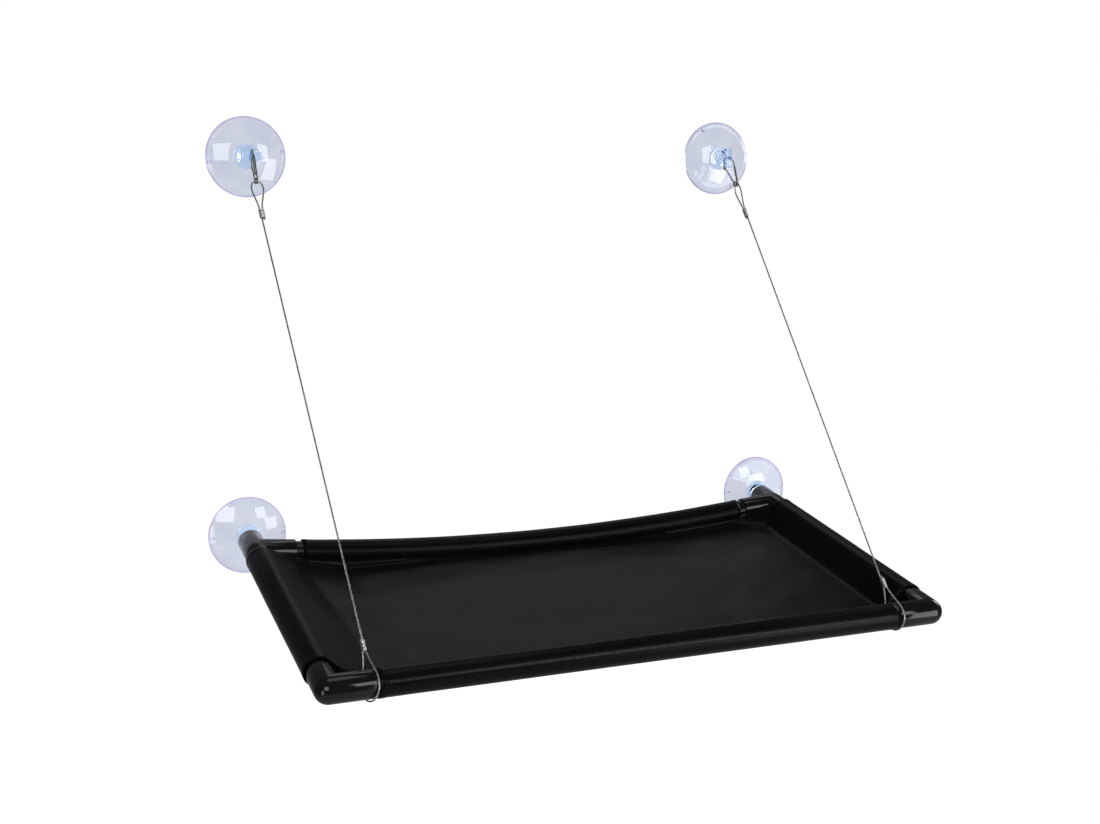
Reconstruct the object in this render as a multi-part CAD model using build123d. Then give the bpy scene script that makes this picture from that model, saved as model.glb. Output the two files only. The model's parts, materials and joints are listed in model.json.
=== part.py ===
from build123d import *
import math
import os

# Window perch: a cloth seat on a pipe frame, held to a window pane by four suction cups.
# X runs along the window, +Y points at the glass and Z is up. Millimetres and degrees.
# The origin lies on the glass, midway between the two lower cups.

# Suction cups, all four from one mould
cup_radius = 37.5
cup_height = 9.0
cup_rim = 1.2
cup_land = 4.0
cup_hollow = 3.0
cup_swell = 1.4
knob_length = 10.0
tongue_length = 12.0
tongue_thickness = 7.0
hole_radius = 2.4
hole_setback = 5.0
nib_radius = 1.3
nib_inset = 4.6
nib_height = 1.4

# Where the upper cups stick to the glass, and how their tongues and nibs are turned
upper_left_across = -271.4
upper_left_up = 361.7
upper_right_across = 226.0
upper_right_up = 363.5
left_tongue_turn = 0
right_tongue_turn = 90
left_nib_turn = 9
right_nib_turn = 121

# Pipe frame: half its width, and its reach from the line that the cup necks bend about
frame_half_width = 281.0
frame_reach = 313.3
frame_slope = 9.0
neck_reach = 12.0
neck_drop = 2.5
neck_root = 0.5
pipe_radius = 10.3
pipe_wall = 1.8
pipe_end_gap = 1.0
rear_bar_setback = 28.8
rear_bow_angle = 6.35

# Corner elbows and rear tees
fitting_wall = 1.5
socket_clearance = 0.1
elbow_leg = 38.0
socket_depth = 25.0
branch_leg = 37.0
tee_tail = 37.2
tee_mouth = 3.5

# Cloth sleeves and seat panel
hem_cloth = 1.5
side_cloth = 0.9
sleeve_slip = 0.1
sleeve_end_gap = 0.3
bare_elbow_leg = 31.0
bare_tee_collar = 3.3
bare_rear_pipe = 8.2
seat_cloth = 1.1
seat_gap = 0.3
seat_pocket = 2.0
seat_rear_run = 2.0
seat_front_run = 14.0
seat_hem_angle = 20.0
seat_wall_slope = 33.0
seat_crease_share = 0.836
seat_crease_depth_share = 0.672
seat_floor_share = 0.712
seat_floor_depth_share = 0.96
seat_floor_spans = 6
corner_cut_across = 5.0
corner_cut_reach = 13.0

# Wire rope, its end loops and its crimped ferrules
rope_radius = 0.75
rope_clearance = 0.08
rope_spacing = 1.9
rope_lead = 2.2
rope_tail = 2.0
eye_length = 28.5
eye_half_width = 6.0
eye_crown_half = 3.4
eye_shoulder_share = 0.24
eye_waist_share = 0.6
eye_waist_width_share = 0.62
ferrule_length = 8.8
ferrule_wall = 0.85
loop_reach = 25.0
left_loop_across = 247.5
right_loop_across = 243.5
left_loop_slant = 19.0
right_loop_slant = -9.0
loop_corners = 5
bend_share = 0.45
lead_bend_share = 0.85

# Spring snaps that hang from the upper cups
snap_wire = 0.65
snap_bow_radius = 5.75
snap_length = 27.5
coil_radius = 2.35
coil_half_spacing = 0.8
spine_start = 4.5
spine_half_width = 0.75
spine_gap = 0.4
catch_reach = 2.5
catch_jog = 2.0
catch_step = 2.6
catch_end = 9.0
catch_ball = 1.0
gate_rest_gap = 0.05
gate_tip = 6.5
gate_foot_angle = 200

# Pushes a cutter past the face that it opens
overrun = 1.0

socket_radius = pipe_radius + socket_clearance
fitting_radius = socket_radius + fitting_wall
pipe_bore = pipe_radius - pipe_wall
knob_radius = pipe_radius
knob_end = cup_height + knob_length
tongue_end = knob_end + tongue_length
hole_distance = tongue_end - hole_setback
frame_place = Location((0, -neck_reach, -neck_drop), (frame_slope, 0, 0))

# The rear bar leaves each tee at an angle and bows down between them
bow_turn = math.radians(rear_bow_angle)
bow_mouth = frame_half_width - branch_leg * math.cos(bow_turn)
bow_mouth_drop = branch_leg * math.sin(bow_turn)
bow_radius = bow_mouth / math.sin(bow_turn)
bow_drop = bow_mouth_drop + bow_radius * (1 - math.cos(bow_turn))

standing = (Align.CENTER, Align.CENTER, Align.MIN)
parts = {}


def rod(start, end, radius):
    """Round bar from one point to another."""
    start = Vector(start)
    run = Vector(end) - start
    plane = Plane(origin=start, z_dir=run.normalized())
    return plane * Cylinder(radius, run.length, align=standing)


def ball(spot, radius):
    return Pos(*Vector(spot)) * Sphere(radius)


def along_wire(path, radius):
    """Round bar swept along a path."""
    section = Plane(origin=path @ 0, z_dir=path % 0) * Circle(radius)
    return sweep(section, path=path)


def past(start, end):
    """A point a little beyond the end of a run."""
    start = Vector(start)
    end = Vector(end)
    return end + (end - start).normalized() * overrun


def tube(start, end, outer, inner):
    """Round tube from one point to another."""
    return rod(start, end, outer) - rod(past(end, start), past(start, end), inner)


# Suction cups: modelled with the glass at zero height and the knob pointing up

def cup_body(top):
    """Shallow dome with a flat land at the rim and a round knob up to the given height."""
    half = (cup_radius + knob_radius) / 2
    crown = (cup_height + cup_rim) / 2 + cup_swell
    hollow_edge = cup_radius - cup_land
    hollow_half = hollow_edge / 2
    hollow_crown = cup_hollow * math.cos(math.pi / 4)
    outline = [
        Line((hollow_edge, 0), (cup_radius, 0)),
        Line((cup_radius, 0), (cup_radius, cup_rim)),
        ThreePointArc((cup_radius, cup_rim), (half, crown), (knob_radius, cup_height)),
        Line((knob_radius, cup_height), (knob_radius, top)),
        Line((knob_radius, top), (0, top)),
        Line((0, top), (0, cup_hollow)),
        ThreePointArc((0, cup_hollow), (hollow_half, hollow_crown), (hollow_edge, 0)),
    ]
    return revolve(make_face(Plane.XZ * Wire(outline)), Axis.Z)


def cup_nibs(turn):
    """Two small moulded nibs near the rim, opposite each other."""
    nibs = []
    for side in (0, 180):
        spot = Rot(0, 0, turn + side) * Pos(cup_radius - nib_inset, 0, cup_rim)
        nibs.append(spot * Cylinder(nib_radius, nib_height, align=standing))
    return nibs


def tongue_cut(turn):
    """What is cut from the end of the knob: both flanks of the tongue, and its cross hole."""
    width = knob_radius * 2 + overrun
    cuts = []
    for side in (-1, 1):
        middle = side * (tongue_thickness + width) / 2
        flank = Box(width * 2, width, tongue_length + overrun, align=standing)
        cuts.append(Rot(0, 0, turn) * Pos(0, middle, knob_end) * flank)
    hole = Cylinder(hole_radius, tongue_thickness + overrun * 2)
    cuts.append(Rot(0, 0, turn) * Pos(0, 0, hole_distance) * Rot(90, 0, 0) * hole)
    return cuts


def on_glass(across, up):
    """Turns a cup's axis away from the glass and puts it in its place."""
    return Pos(across, 0, up) * Rot(90, 0, 0)


def upper_cup(across, up, tongue_turn, nib_turn):
    body = cup_body(tongue_end) + cup_nibs(nib_turn) - tongue_cut(tongue_turn)
    return on_glass(across, up) * body


def lower_cup(across):
    """The same cup with its soft neck bent, so that the knob lies in line with the frame."""
    root = (cup_height + cup_hollow) / 2
    disc = on_glass(across, 0) * (cup_body(cup_height + neck_root) + cup_nibs(0))
    bend = Vector(across, -neck_reach, -neck_drop)
    neck = rod((across, -root, 0), bend, knob_radius)
    knob = Pos(0, 0, neck_reach) * Cylinder(knob_radius, tongue_end - neck_reach, align=standing)
    knob = Pos(across, neck_reach, 0) * Rot(90, 0, 0) * (knob - tongue_cut(0))
    return disc + neck + ball(bend, knob_radius) + frame_place * knob


parts["upper_left_cup"] = upper_cup(
    upper_left_across, upper_left_up, left_tongue_turn, left_nib_turn
)
parts["upper_right_cup"] = upper_cup(
    upper_right_across, upper_right_up, right_tongue_turn, right_nib_turn
)
parts["lower_left_cup"] = lower_cup(-frame_half_width)
parts["lower_right_cup"] = lower_cup(frame_half_width)


# Pipe frame, modelled flat: X across, -Y away from the glass

def elbow(side):
    """Corner fitting: a front leg and a side leg that meet in a ball."""
    corner = Vector(side * frame_half_width, -frame_reach, 0)
    body = ball(corner, fitting_radius)
    sockets = []
    for direction in (Vector(-side, 0, 0), Vector(0, 1, 0)):
        mouth = corner + direction * elbow_leg
        stop = corner + direction * (elbow_leg - socket_depth)
        body += rod(corner, mouth, fitting_radius)
        sockets.append(rod(stop, past(stop, mouth), socket_radius))
    return body - sockets


def branch_point(side, distance):
    """A point on a tee's branch axis, at a distance from the run's axis."""
    return Vector(
        side * (frame_half_width - distance * math.cos(bow_turn)),
        -rear_bar_setback,
        -distance * math.sin(bow_turn),
    )


def tee(side):
    """Rear fitting: its run holds the cup's knob and the side pipe, its branch the rear pipe."""
    across = side * frame_half_width
    mouth = Vector(across, -tee_mouth, 0)
    tail = Vector(across, -rear_bar_setback - tee_tail, 0)
    root = branch_point(side, 0)
    tip = branch_point(side, branch_leg)
    body = rod(mouth, tail, fitting_radius) + rod(root, tip, fitting_radius)
    bores = [rod(past(tail, mouth), past(mouth, tail), socket_radius)]
    bores.append(rod(root, past(root, tip), socket_radius))
    return body - bores


def bow_at(across):
    """Height of the rear bar's axis at a place along it."""
    across = abs(across)
    if across > bow_mouth:
        return -(frame_half_width - across) * math.tan(bow_turn)
    rise = bow_radius - math.sqrt(bow_radius * bow_radius - across * across)
    return rise - bow_drop


def bow_arc(half):
    """The bowed part of the rear bar's axis."""
    end = (half, -rear_bar_setback, bow_at(half))
    middle = (0, -rear_bar_setback, bow_at(0))
    return ThreePointArc((-half, -rear_bar_setback, bow_at(half)), middle, end)


def rear_pipe_line():
    """Axis of the rear pipe: straight in the tees, an arc between them."""
    left = branch_point(-1, socket_radius + pipe_end_gap)
    right = branch_point(1, socket_radius + pipe_end_gap)
    left_mouth = branch_point(-1, branch_leg)
    right_mouth = branch_point(1, branch_leg)
    return Wire([Line(left, left_mouth), bow_arc(bow_mouth), Line(right_mouth, right)])


front_pipe_end = Vector(
    frame_half_width - elbow_leg + socket_depth - pipe_end_gap, -frame_reach, 0
)
side_pipe_start = rear_bar_setback + socket_radius + pipe_end_gap
side_pipe_end = frame_reach - elbow_leg + socket_depth - pipe_end_gap
mirror_across = Vector(-front_pipe_end.X, front_pipe_end.Y, 0)

parts["front_pipe"] = frame_place * tube(mirror_across, front_pipe_end, pipe_radius, pipe_bore)
rear_line = rear_pipe_line()
parts["rear_pipe"] = frame_place * (
    along_wire(rear_line, pipe_radius) - along_wire(rear_line, pipe_bore)
)
for name, side in (("left", -1), ("right", 1)):
    across = side * frame_half_width
    parts[f"{name}_pipe"] = frame_place * tube(
        (across, -side_pipe_start, 0), (across, -side_pipe_end, 0), pipe_radius, pipe_bore
    )
    parts[f"front_{name}_elbow"] = frame_place * elbow(side)
left_tee = tee(-1)
parts["rear_left_tee"] = frame_place * left_tee
parts["rear_right_tee"] = frame_place * mirror(left_tee, about=Plane.YZ)


# Cloth sleeves and seat

hem_bore = pipe_radius + sleeve_slip
hem_radius = hem_bore + hem_cloth
side_bore = fitting_radius + sleeve_slip
side_radius = side_bore + side_cloth
front_sleeve_half = frame_half_width - elbow_leg - sleeve_end_gap
rear_sleeve_half = bow_mouth - bare_rear_pipe
side_sleeve_start = rear_bar_setback + fitting_radius + bare_tee_collar
side_sleeve_end = frame_reach - bare_elbow_leg

parts["front_sleeve"] = frame_place * tube(
    (-front_sleeve_half, -frame_reach, 0),
    (front_sleeve_half, -frame_reach, 0),
    hem_radius,
    hem_bore,
)
rear_arc = Wire([bow_arc(rear_sleeve_half)])
parts["rear_sleeve"] = frame_place * (
    along_wire(rear_arc, hem_radius) - along_wire(rear_arc, hem_bore)
)
for name, side in (("left", -1), ("right", 1)):
    across = side * frame_half_width
    parts[f"{name}_sleeve"] = frame_place * tube(
        (across, -side_sleeve_start, 0), (across, -side_sleeve_end, 0), side_radius, side_bore
    )

hem_turn = math.radians(seat_hem_angle)
hem_out = (hem_radius + seat_gap) * math.cos(hem_turn)
hem_down = (hem_radius + seat_gap) * math.sin(hem_turn)
seat_depth = bow_drop + hem_down + seat_pocket
wall_turn = math.radians(seat_wall_slope)
wall_reach = side_radius + seat_gap + seat_cloth
seat_half = frame_half_width - wall_reach * math.sin(wall_turn)
seat_side_depth = -wall_reach * math.cos(wall_turn)


def seat_section(across, depth):
    """Thin U-shaped strip of the seat, from the rear bar to the front, at one place."""
    rear_hem = -rear_bar_setback - hem_out
    front_hem = -frame_reach + hem_out
    rear_foot = rear_hem - seat_rear_run
    front_foot = front_hem + seat_front_run
    rear_top = bow_at(across) - hem_down
    front_top = -hem_down
    points = [
        (rear_hem, rear_top - seat_cloth),
        (rear_foot, -depth - seat_cloth),
        (front_foot, -depth - seat_cloth),
        (front_hem, front_top - seat_cloth),
        (front_hem, front_top),
        (front_foot, -depth),
        (rear_foot, -depth),
        (rear_hem, rear_top),
    ]
    return Wire.make_polygon([Vector(across, y, z) for y, z in points], close=True)


def corner_cut(side, inner, outer, edge):
    """Takes the seat's corner off between two points, out past the corner at the given edge."""
    outside = frame_half_width
    points = [inner, outer, (outside, outer[1]), (outside, edge), (inner[0], edge)]
    face = make_face(Polyline(*[(side * x, y) for x, y in points], close=True))
    return Pos(0, 0, -seat_depth - pipe_radius) * extrude(face, seat_depth + pipe_radius * 2)


def seat_panel():
    """Tray of cloth between the four sleeves; its corners are cut away at the fittings."""
    floor_edge = frame_half_width * seat_floor_share
    floor_depth = seat_depth * seat_floor_depth_share
    crease = frame_half_width * seat_crease_share
    crease_depth = seat_depth * seat_crease_depth_share
    sections = [seat_section(-seat_half, seat_side_depth), seat_section(-crease, crease_depth)]
    for step in range(seat_floor_spans + 1):
        share = step / seat_floor_spans * 2 - 1
        sag = (seat_depth - floor_depth) * (1 - share * share)
        sections.append(seat_section(floor_edge * share, floor_depth + sag))
    sections.append(seat_section(crease, crease_depth))
    sections.append(seat_section(seat_half, seat_side_depth))
    panel = Solid.make_loft(sections, ruled=True)
    front_inner = (front_sleeve_half - corner_cut_across, -frame_reach + corner_cut_reach)
    front_outer = (seat_half, -side_sleeve_end)
    rear_inner = (rear_sleeve_half, -side_sleeve_start)
    rear_outer = (seat_half, -side_sleeve_start)
    cuts = []
    for side in (-1, 1):
        cuts.append(corner_cut(side, front_inner, front_outer, -frame_reach))
        cuts.append(corner_cut(side, rear_inner, rear_outer, -rear_bar_setback))
    return panel - cuts


parts["seat_panel"] = frame_place * seat_panel()


# Spring snaps, ropes and ferrules

def bend_radii(points, leads):
    """Bend radius at each corner; the lead corners keep clear of the ferrule."""
    radii = []
    last = len(points) - 1
    for index in range(1, last):
        before = points[index] - points[index - 1]
        after = points[index + 1] - points[index]
        room = bend_share * min(before.length, after.length)
        if index in leads:
            room = lead_bend_share * rope_lead
        turn = math.radians(before.get_angle(after))
        radii.append(room / math.tan(turn / 2))
    return radii


def rope(name, points):
    """Wire rope along straight runs and tangent arcs; its ends lie in a ferrule."""
    radii = bend_radii(points, (1, len(points) - 2))
    path = FilletPolyline(*points, radius=radii)
    print(f"{name} {path.length:.1f} long, bends {[round(radius, 1) for radius in radii]}")
    return along_wire(path, rope_radius)


def ferrule(start, along, across):
    """Oval crimp with two bores side by side, from start along its axis."""
    bore_radius = rope_radius + rope_clearance
    plane = Plane(origin=start, x_dir=across, z_dir=along)
    outline = SlotCenterToCenter(rope_spacing, (bore_radius + ferrule_wall) * 2)
    body = extrude(outline, ferrule_length)
    for shift in (-rope_spacing / 2, rope_spacing / 2):
        bore = Cylinder(bore_radius, ferrule_length + overrun * 2, align=standing)
        body -= Pos(shift, 0, -overrun) * bore
    return plane * body


def snap_hook():
    """Spring wire bent into a bow, a doubled spine, a coil turn and a catch for the gate."""
    bow = snap_bow_radius
    out = -bow - catch_jog
    leg = [(-bow, 0), (-bow, catch_reach), (out, catch_reach + catch_step), (out, catch_end)]
    body = along_wire(Wire([ThreePointArc((-bow, 0), (0, -bow), (bow, 0))]), snap_wire)
    for start, end in zip(leg, leg[1:]):
        body += rod(start, end, snap_wire)
        body += ball(start, snap_wire)
    body += ball(leg[-1], catch_ball)
    spine = Line((bow, 0), (coil_radius, snap_length))
    body += rod(spine @ 0, spine @ 1, snap_wire)
    body += ball(spine @ 0, snap_wire)
    low_share = 1 - (coil_radius + snap_wire * 2 + spine_gap) / snap_length
    for lift, share in ((spine_half_width, 1), (-spine_half_width, low_share)):
        top = spine @ (spine_start / snap_length) + Vector(0, 0, lift)
        low = spine @ share + Vector(0, 0, lift)
        body += rod(top, low, snap_wire)
        body += ball(top, snap_wire)
        body += ball(low, snap_wire)
    coil = Pos(0, snap_length, coil_half_spacing)
    room = Pos(0, snap_length, -coil_half_spacing)
    body -= room * Cylinder(coil_radius + snap_wire + spine_gap, coil_half_spacing * 2)
    body -= coil * Cylinder(coil_radius - snap_wire, coil_half_spacing * 4)
    return body + coil * Torus(coil_radius, snap_wire)


def snap_gate():
    """Sprung leg that closes the bow; its own coil turn lies beside the hook's."""
    angle = math.radians(gate_foot_angle)
    foot = Vector(
        coil_radius * math.cos(angle),
        snap_length + coil_radius * math.sin(angle),
        -coil_half_spacing,
    )
    tip = Vector(-snap_bow_radius - catch_jog + snap_wire * 2 + gate_rest_gap, gate_tip, 0)
    body = rod(foot, tip, snap_wire) + ball(tip, snap_wire)
    coil = Pos(0, snap_length, -coil_half_spacing)
    body -= coil * Cylinder(coil_radius - snap_wire, coil_half_spacing * 4)
    return body + coil * Torus(coil_radius, snap_wire)


def rope_side(name, side, hole, loop_across, slant, bow_upright):
    """Snap, gate, rope, loops and ferrules of one side of the perch."""
    corner = (frame_place * Pos(side * loop_across, -frame_reach, 0)).position
    pull = Vector(0, corner.Y - hole.Y, corner.Z - hole.Z).normalized()
    level = Vector(1, 0, 0)
    inward = level.cross(pull)
    width = -inward if bow_upright else level
    reach = Vector(0, -1, 0) if bow_upright else pull
    centre = hole + reach * snap_bow_radius
    normal = width.cross(pull)
    plane = Plane(origin=centre, x_dir=width, z_dir=normal)
    parts[f"{name}_snap_hook"] = plane * snap_hook()
    parts[f"{name}_snap_gate"] = plane * snap_gate()

    coil = centre + pull * snap_length
    crown = coil + pull * (coil_radius - snap_wire - rope_radius - rope_clearance)
    eye_foot = crown + pull * (eye_length + rope_lead)
    loop_top = corner - pull * (loop_reach + rope_lead)
    along = (loop_top - eye_foot).normalized()
    half = rope_spacing / 2
    shift = normal * half
    eye_end = eye_foot - along * rope_lead
    eye_start = eye_foot + along * ferrule_length
    outline = [
        (eye_waist_share * eye_length, eye_half_width * eye_waist_width_share),
        (eye_shoulder_share * eye_length, eye_half_width),
        (0, eye_crown_half),
    ]
    near = [crown + pull * down - normal * out for down, out in outline]
    far = [crown + pull * down + normal * out for down, out in reversed(outline)]
    eye = [eye_start - shift, eye_end - shift] + near + far
    eye += [eye_end + shift, eye_start + shift + along * rope_tail]
    parts[f"{name}_cable_eye"] = rope(f"{name}_cable_eye", eye)
    parts[f"{name}_upper_ferrule"] = ferrule(eye_foot, along, normal)

    slant = math.radians(slant)
    across = inward * math.cos(slant) + level * side * math.sin(slant)
    wrap = (hem_radius + rope_radius + rope_clearance) / math.cos(slant)
    begin = math.atan2(half, loop_reach) + math.acos(wrap / math.hypot(loop_reach, half))
    step = (2 * math.pi - 2 * begin) / loop_corners
    wrap_corner = wrap / math.cos(step / 2)
    shift = across * half * side
    loop_end = loop_top + along * rope_lead
    loop_start = loop_top - along * ferrule_length
    loop = [loop_start + shift, loop_end + shift]
    for index in range(loop_corners):
        angle = begin + step * (index + 0.5)
        spot = across * side * math.sin(angle) - pull * math.cos(angle)
        loop.append(corner + spot * wrap_corner)
    loop += [loop_end - shift, loop_start - shift - along * rope_tail]
    parts[f"{name}_cable_loop"] = rope(f"{name}_cable_loop", loop)
    parts[f"{name}_lower_ferrule"] = ferrule(loop_start, along, across)
    parts[f"{name}_cable_run"] = rod(eye[0], loop[0], rope_radius)
    print(f"{name} run {(loop[0] - eye[0]).length:.1f} from {tuple(eye[0])} to {tuple(loop[0])}")
    print(f"  coil {tuple(coil)}, normal {tuple(normal)}, pull {tuple(pull)}")
    print(f"  eye {[tuple(round(value, 2) for value in point) for point in eye]}")
    print(f"  loop {[tuple(round(value, 2) for value in point) for point in loop]}")


left_hole = Vector(upper_left_across, -hole_distance, upper_left_up)
right_hole = Vector(upper_right_across, -hole_distance, upper_right_up)
rope_side("left", -1, left_hole, left_loop_across, left_loop_slant, True)
rope_side("right", 1, right_hole, right_loop_across, right_loop_slant, False)


os.makedirs("parts", exist_ok=True)
for name, shape in parts.items():
    export_step(shape, f"parts/{name}.step")
print(len(parts), "nodes")
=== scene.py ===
# %% [markdown]
# # A cat perch on a window
# The real object is a pipe frame that slopes down from the glass, with a black coated cloth sewn
# round its bars. Two clear suction cups hold the rear corners, and two more, further up, hold the
# wire ropes that carry the front bar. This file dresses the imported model: it loads the fixed
# frame, builds the visible pieces round it in the same place and size, and lights them.

import json
import math

import bmesh
import bpy
from mathutils import Matrix, Vector, noise
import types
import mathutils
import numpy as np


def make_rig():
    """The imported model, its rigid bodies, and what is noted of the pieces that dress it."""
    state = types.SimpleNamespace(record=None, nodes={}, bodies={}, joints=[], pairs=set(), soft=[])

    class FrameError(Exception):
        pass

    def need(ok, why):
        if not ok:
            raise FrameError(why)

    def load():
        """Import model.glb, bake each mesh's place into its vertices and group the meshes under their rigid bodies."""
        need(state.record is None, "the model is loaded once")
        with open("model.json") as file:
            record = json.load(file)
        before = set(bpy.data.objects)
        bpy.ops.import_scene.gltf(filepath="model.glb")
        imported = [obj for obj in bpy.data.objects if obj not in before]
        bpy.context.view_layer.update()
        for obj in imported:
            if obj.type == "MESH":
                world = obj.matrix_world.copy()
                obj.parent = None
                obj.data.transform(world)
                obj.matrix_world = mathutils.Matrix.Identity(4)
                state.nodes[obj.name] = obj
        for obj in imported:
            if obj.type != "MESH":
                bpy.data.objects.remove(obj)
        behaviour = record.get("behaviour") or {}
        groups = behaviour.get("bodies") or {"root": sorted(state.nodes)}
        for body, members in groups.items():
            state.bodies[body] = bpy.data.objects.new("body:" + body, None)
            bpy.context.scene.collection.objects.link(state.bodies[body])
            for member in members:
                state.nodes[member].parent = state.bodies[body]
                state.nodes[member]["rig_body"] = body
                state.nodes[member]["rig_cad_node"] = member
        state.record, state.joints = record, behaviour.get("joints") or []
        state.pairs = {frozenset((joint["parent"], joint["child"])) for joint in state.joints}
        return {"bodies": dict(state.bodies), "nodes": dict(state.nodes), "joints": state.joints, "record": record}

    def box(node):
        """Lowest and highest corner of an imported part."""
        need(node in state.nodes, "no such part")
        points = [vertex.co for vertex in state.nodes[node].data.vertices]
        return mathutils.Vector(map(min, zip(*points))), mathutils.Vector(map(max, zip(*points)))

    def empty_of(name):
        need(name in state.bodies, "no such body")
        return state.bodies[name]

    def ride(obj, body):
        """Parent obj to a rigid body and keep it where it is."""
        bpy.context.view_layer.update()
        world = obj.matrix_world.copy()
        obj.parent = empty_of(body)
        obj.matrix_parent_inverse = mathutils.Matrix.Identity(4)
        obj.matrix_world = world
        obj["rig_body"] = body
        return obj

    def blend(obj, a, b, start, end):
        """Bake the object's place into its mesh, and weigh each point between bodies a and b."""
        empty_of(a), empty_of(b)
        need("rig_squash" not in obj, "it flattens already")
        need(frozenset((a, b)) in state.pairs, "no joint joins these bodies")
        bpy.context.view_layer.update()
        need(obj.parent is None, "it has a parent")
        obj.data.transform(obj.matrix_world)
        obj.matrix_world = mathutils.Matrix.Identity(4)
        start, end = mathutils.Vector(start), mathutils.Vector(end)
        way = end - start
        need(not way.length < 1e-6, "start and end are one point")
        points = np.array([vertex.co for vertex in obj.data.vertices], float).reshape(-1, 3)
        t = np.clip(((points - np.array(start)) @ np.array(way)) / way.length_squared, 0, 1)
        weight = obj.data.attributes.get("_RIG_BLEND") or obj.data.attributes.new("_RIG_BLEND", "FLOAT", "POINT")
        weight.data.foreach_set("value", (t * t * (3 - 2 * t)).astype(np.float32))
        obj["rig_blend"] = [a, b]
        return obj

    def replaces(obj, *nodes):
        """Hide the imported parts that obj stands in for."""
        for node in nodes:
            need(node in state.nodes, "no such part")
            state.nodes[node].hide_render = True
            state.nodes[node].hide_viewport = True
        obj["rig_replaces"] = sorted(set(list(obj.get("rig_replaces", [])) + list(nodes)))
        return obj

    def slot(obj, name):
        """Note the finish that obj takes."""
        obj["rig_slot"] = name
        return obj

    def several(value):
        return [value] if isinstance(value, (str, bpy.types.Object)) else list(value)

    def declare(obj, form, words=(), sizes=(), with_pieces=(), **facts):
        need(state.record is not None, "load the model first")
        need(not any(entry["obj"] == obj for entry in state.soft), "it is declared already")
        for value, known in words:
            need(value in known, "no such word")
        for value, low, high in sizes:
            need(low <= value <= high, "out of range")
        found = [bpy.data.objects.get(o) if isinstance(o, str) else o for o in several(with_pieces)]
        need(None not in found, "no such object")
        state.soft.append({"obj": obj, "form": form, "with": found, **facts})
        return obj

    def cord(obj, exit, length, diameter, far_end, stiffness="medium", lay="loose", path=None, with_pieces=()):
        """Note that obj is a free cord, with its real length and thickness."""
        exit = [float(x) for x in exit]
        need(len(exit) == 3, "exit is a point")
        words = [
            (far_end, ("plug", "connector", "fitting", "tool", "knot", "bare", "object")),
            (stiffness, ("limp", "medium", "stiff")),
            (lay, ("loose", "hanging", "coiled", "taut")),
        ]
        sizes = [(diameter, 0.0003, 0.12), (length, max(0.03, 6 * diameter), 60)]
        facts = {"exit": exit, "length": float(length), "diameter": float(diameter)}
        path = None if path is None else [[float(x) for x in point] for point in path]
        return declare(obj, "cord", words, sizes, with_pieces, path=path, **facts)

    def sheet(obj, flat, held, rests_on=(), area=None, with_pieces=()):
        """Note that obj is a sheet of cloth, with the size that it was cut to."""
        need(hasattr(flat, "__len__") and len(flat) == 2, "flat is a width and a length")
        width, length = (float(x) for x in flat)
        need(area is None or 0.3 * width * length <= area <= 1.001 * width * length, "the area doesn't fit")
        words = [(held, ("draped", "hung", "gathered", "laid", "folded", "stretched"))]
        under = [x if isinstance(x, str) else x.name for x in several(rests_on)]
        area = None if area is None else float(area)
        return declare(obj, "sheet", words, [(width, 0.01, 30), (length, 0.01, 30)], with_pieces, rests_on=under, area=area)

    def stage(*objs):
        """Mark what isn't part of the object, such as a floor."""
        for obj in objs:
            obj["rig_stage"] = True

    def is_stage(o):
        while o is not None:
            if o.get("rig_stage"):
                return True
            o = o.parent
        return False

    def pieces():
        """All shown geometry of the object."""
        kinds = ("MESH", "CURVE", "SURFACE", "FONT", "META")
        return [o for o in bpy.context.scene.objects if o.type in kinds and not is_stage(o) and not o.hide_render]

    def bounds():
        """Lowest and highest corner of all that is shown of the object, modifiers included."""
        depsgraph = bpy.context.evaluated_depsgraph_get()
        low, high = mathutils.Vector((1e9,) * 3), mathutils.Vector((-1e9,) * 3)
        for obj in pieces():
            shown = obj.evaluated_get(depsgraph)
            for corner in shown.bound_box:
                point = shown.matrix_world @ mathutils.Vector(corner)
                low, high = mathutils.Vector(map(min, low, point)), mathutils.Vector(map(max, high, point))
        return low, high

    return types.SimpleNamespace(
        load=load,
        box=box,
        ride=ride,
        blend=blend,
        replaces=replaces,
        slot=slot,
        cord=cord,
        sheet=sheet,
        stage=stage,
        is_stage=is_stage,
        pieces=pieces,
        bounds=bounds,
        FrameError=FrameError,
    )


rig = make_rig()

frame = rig.load()
cad_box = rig.bounds()
joints = {joint["name"]: joint for joint in frame["joints"]}
print(len(frame["nodes"]), "nodes on", len(frame["bodies"]), "bodies")

# %% [markdown]
# ## The shared measures
# The model is in metres, but a maker thinks of these parts in millimetres, so every size below is
# a number of millimetres times `MM`. The pipe frame is flat, and slopes down from a line near the
# glass. Its pieces are built lying flat, in a plane of their own, and one matrix lays them on the
# slope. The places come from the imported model: its joints, and the boxes of its nodes.

# %% Millimetres, and the plane of the pipe frame
MM = 0.001
FRAME_SLOPE = math.radians(9.0)
SLEEVE_WALL = 1.0 * MM
SIDES = (("left", -1), ("right", 1))

pivot = Vector(joints["perch_tilt"]["pos_m"])
on_slope = Matrix.Translation(pivot) @ Matrix.Rotation(FRAME_SLOPE, 4, "X")
low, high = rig.box("left_pipe")
half_width = (low.x + high.x) / -2
pipe_radius = (high.x - low.x) / 2
low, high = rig.box("left_sleeve")
fitting_radius = (high.x - low.x) / 2 - SLEEVE_WALL
low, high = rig.box("front_pipe")
reach = -(on_slope.inverted() @ ((low + high) / 2)).y
print(f"half width {half_width / MM:.1f}, reach {reach / MM:.1f}, pipe {pipe_radius / MM:.2f} mm")


def on_frame(across, out, up=0.0):
    """A point in the plane of the pipe frame, as a place in the model."""
    return on_slope @ Vector((across, -out, up))


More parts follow.
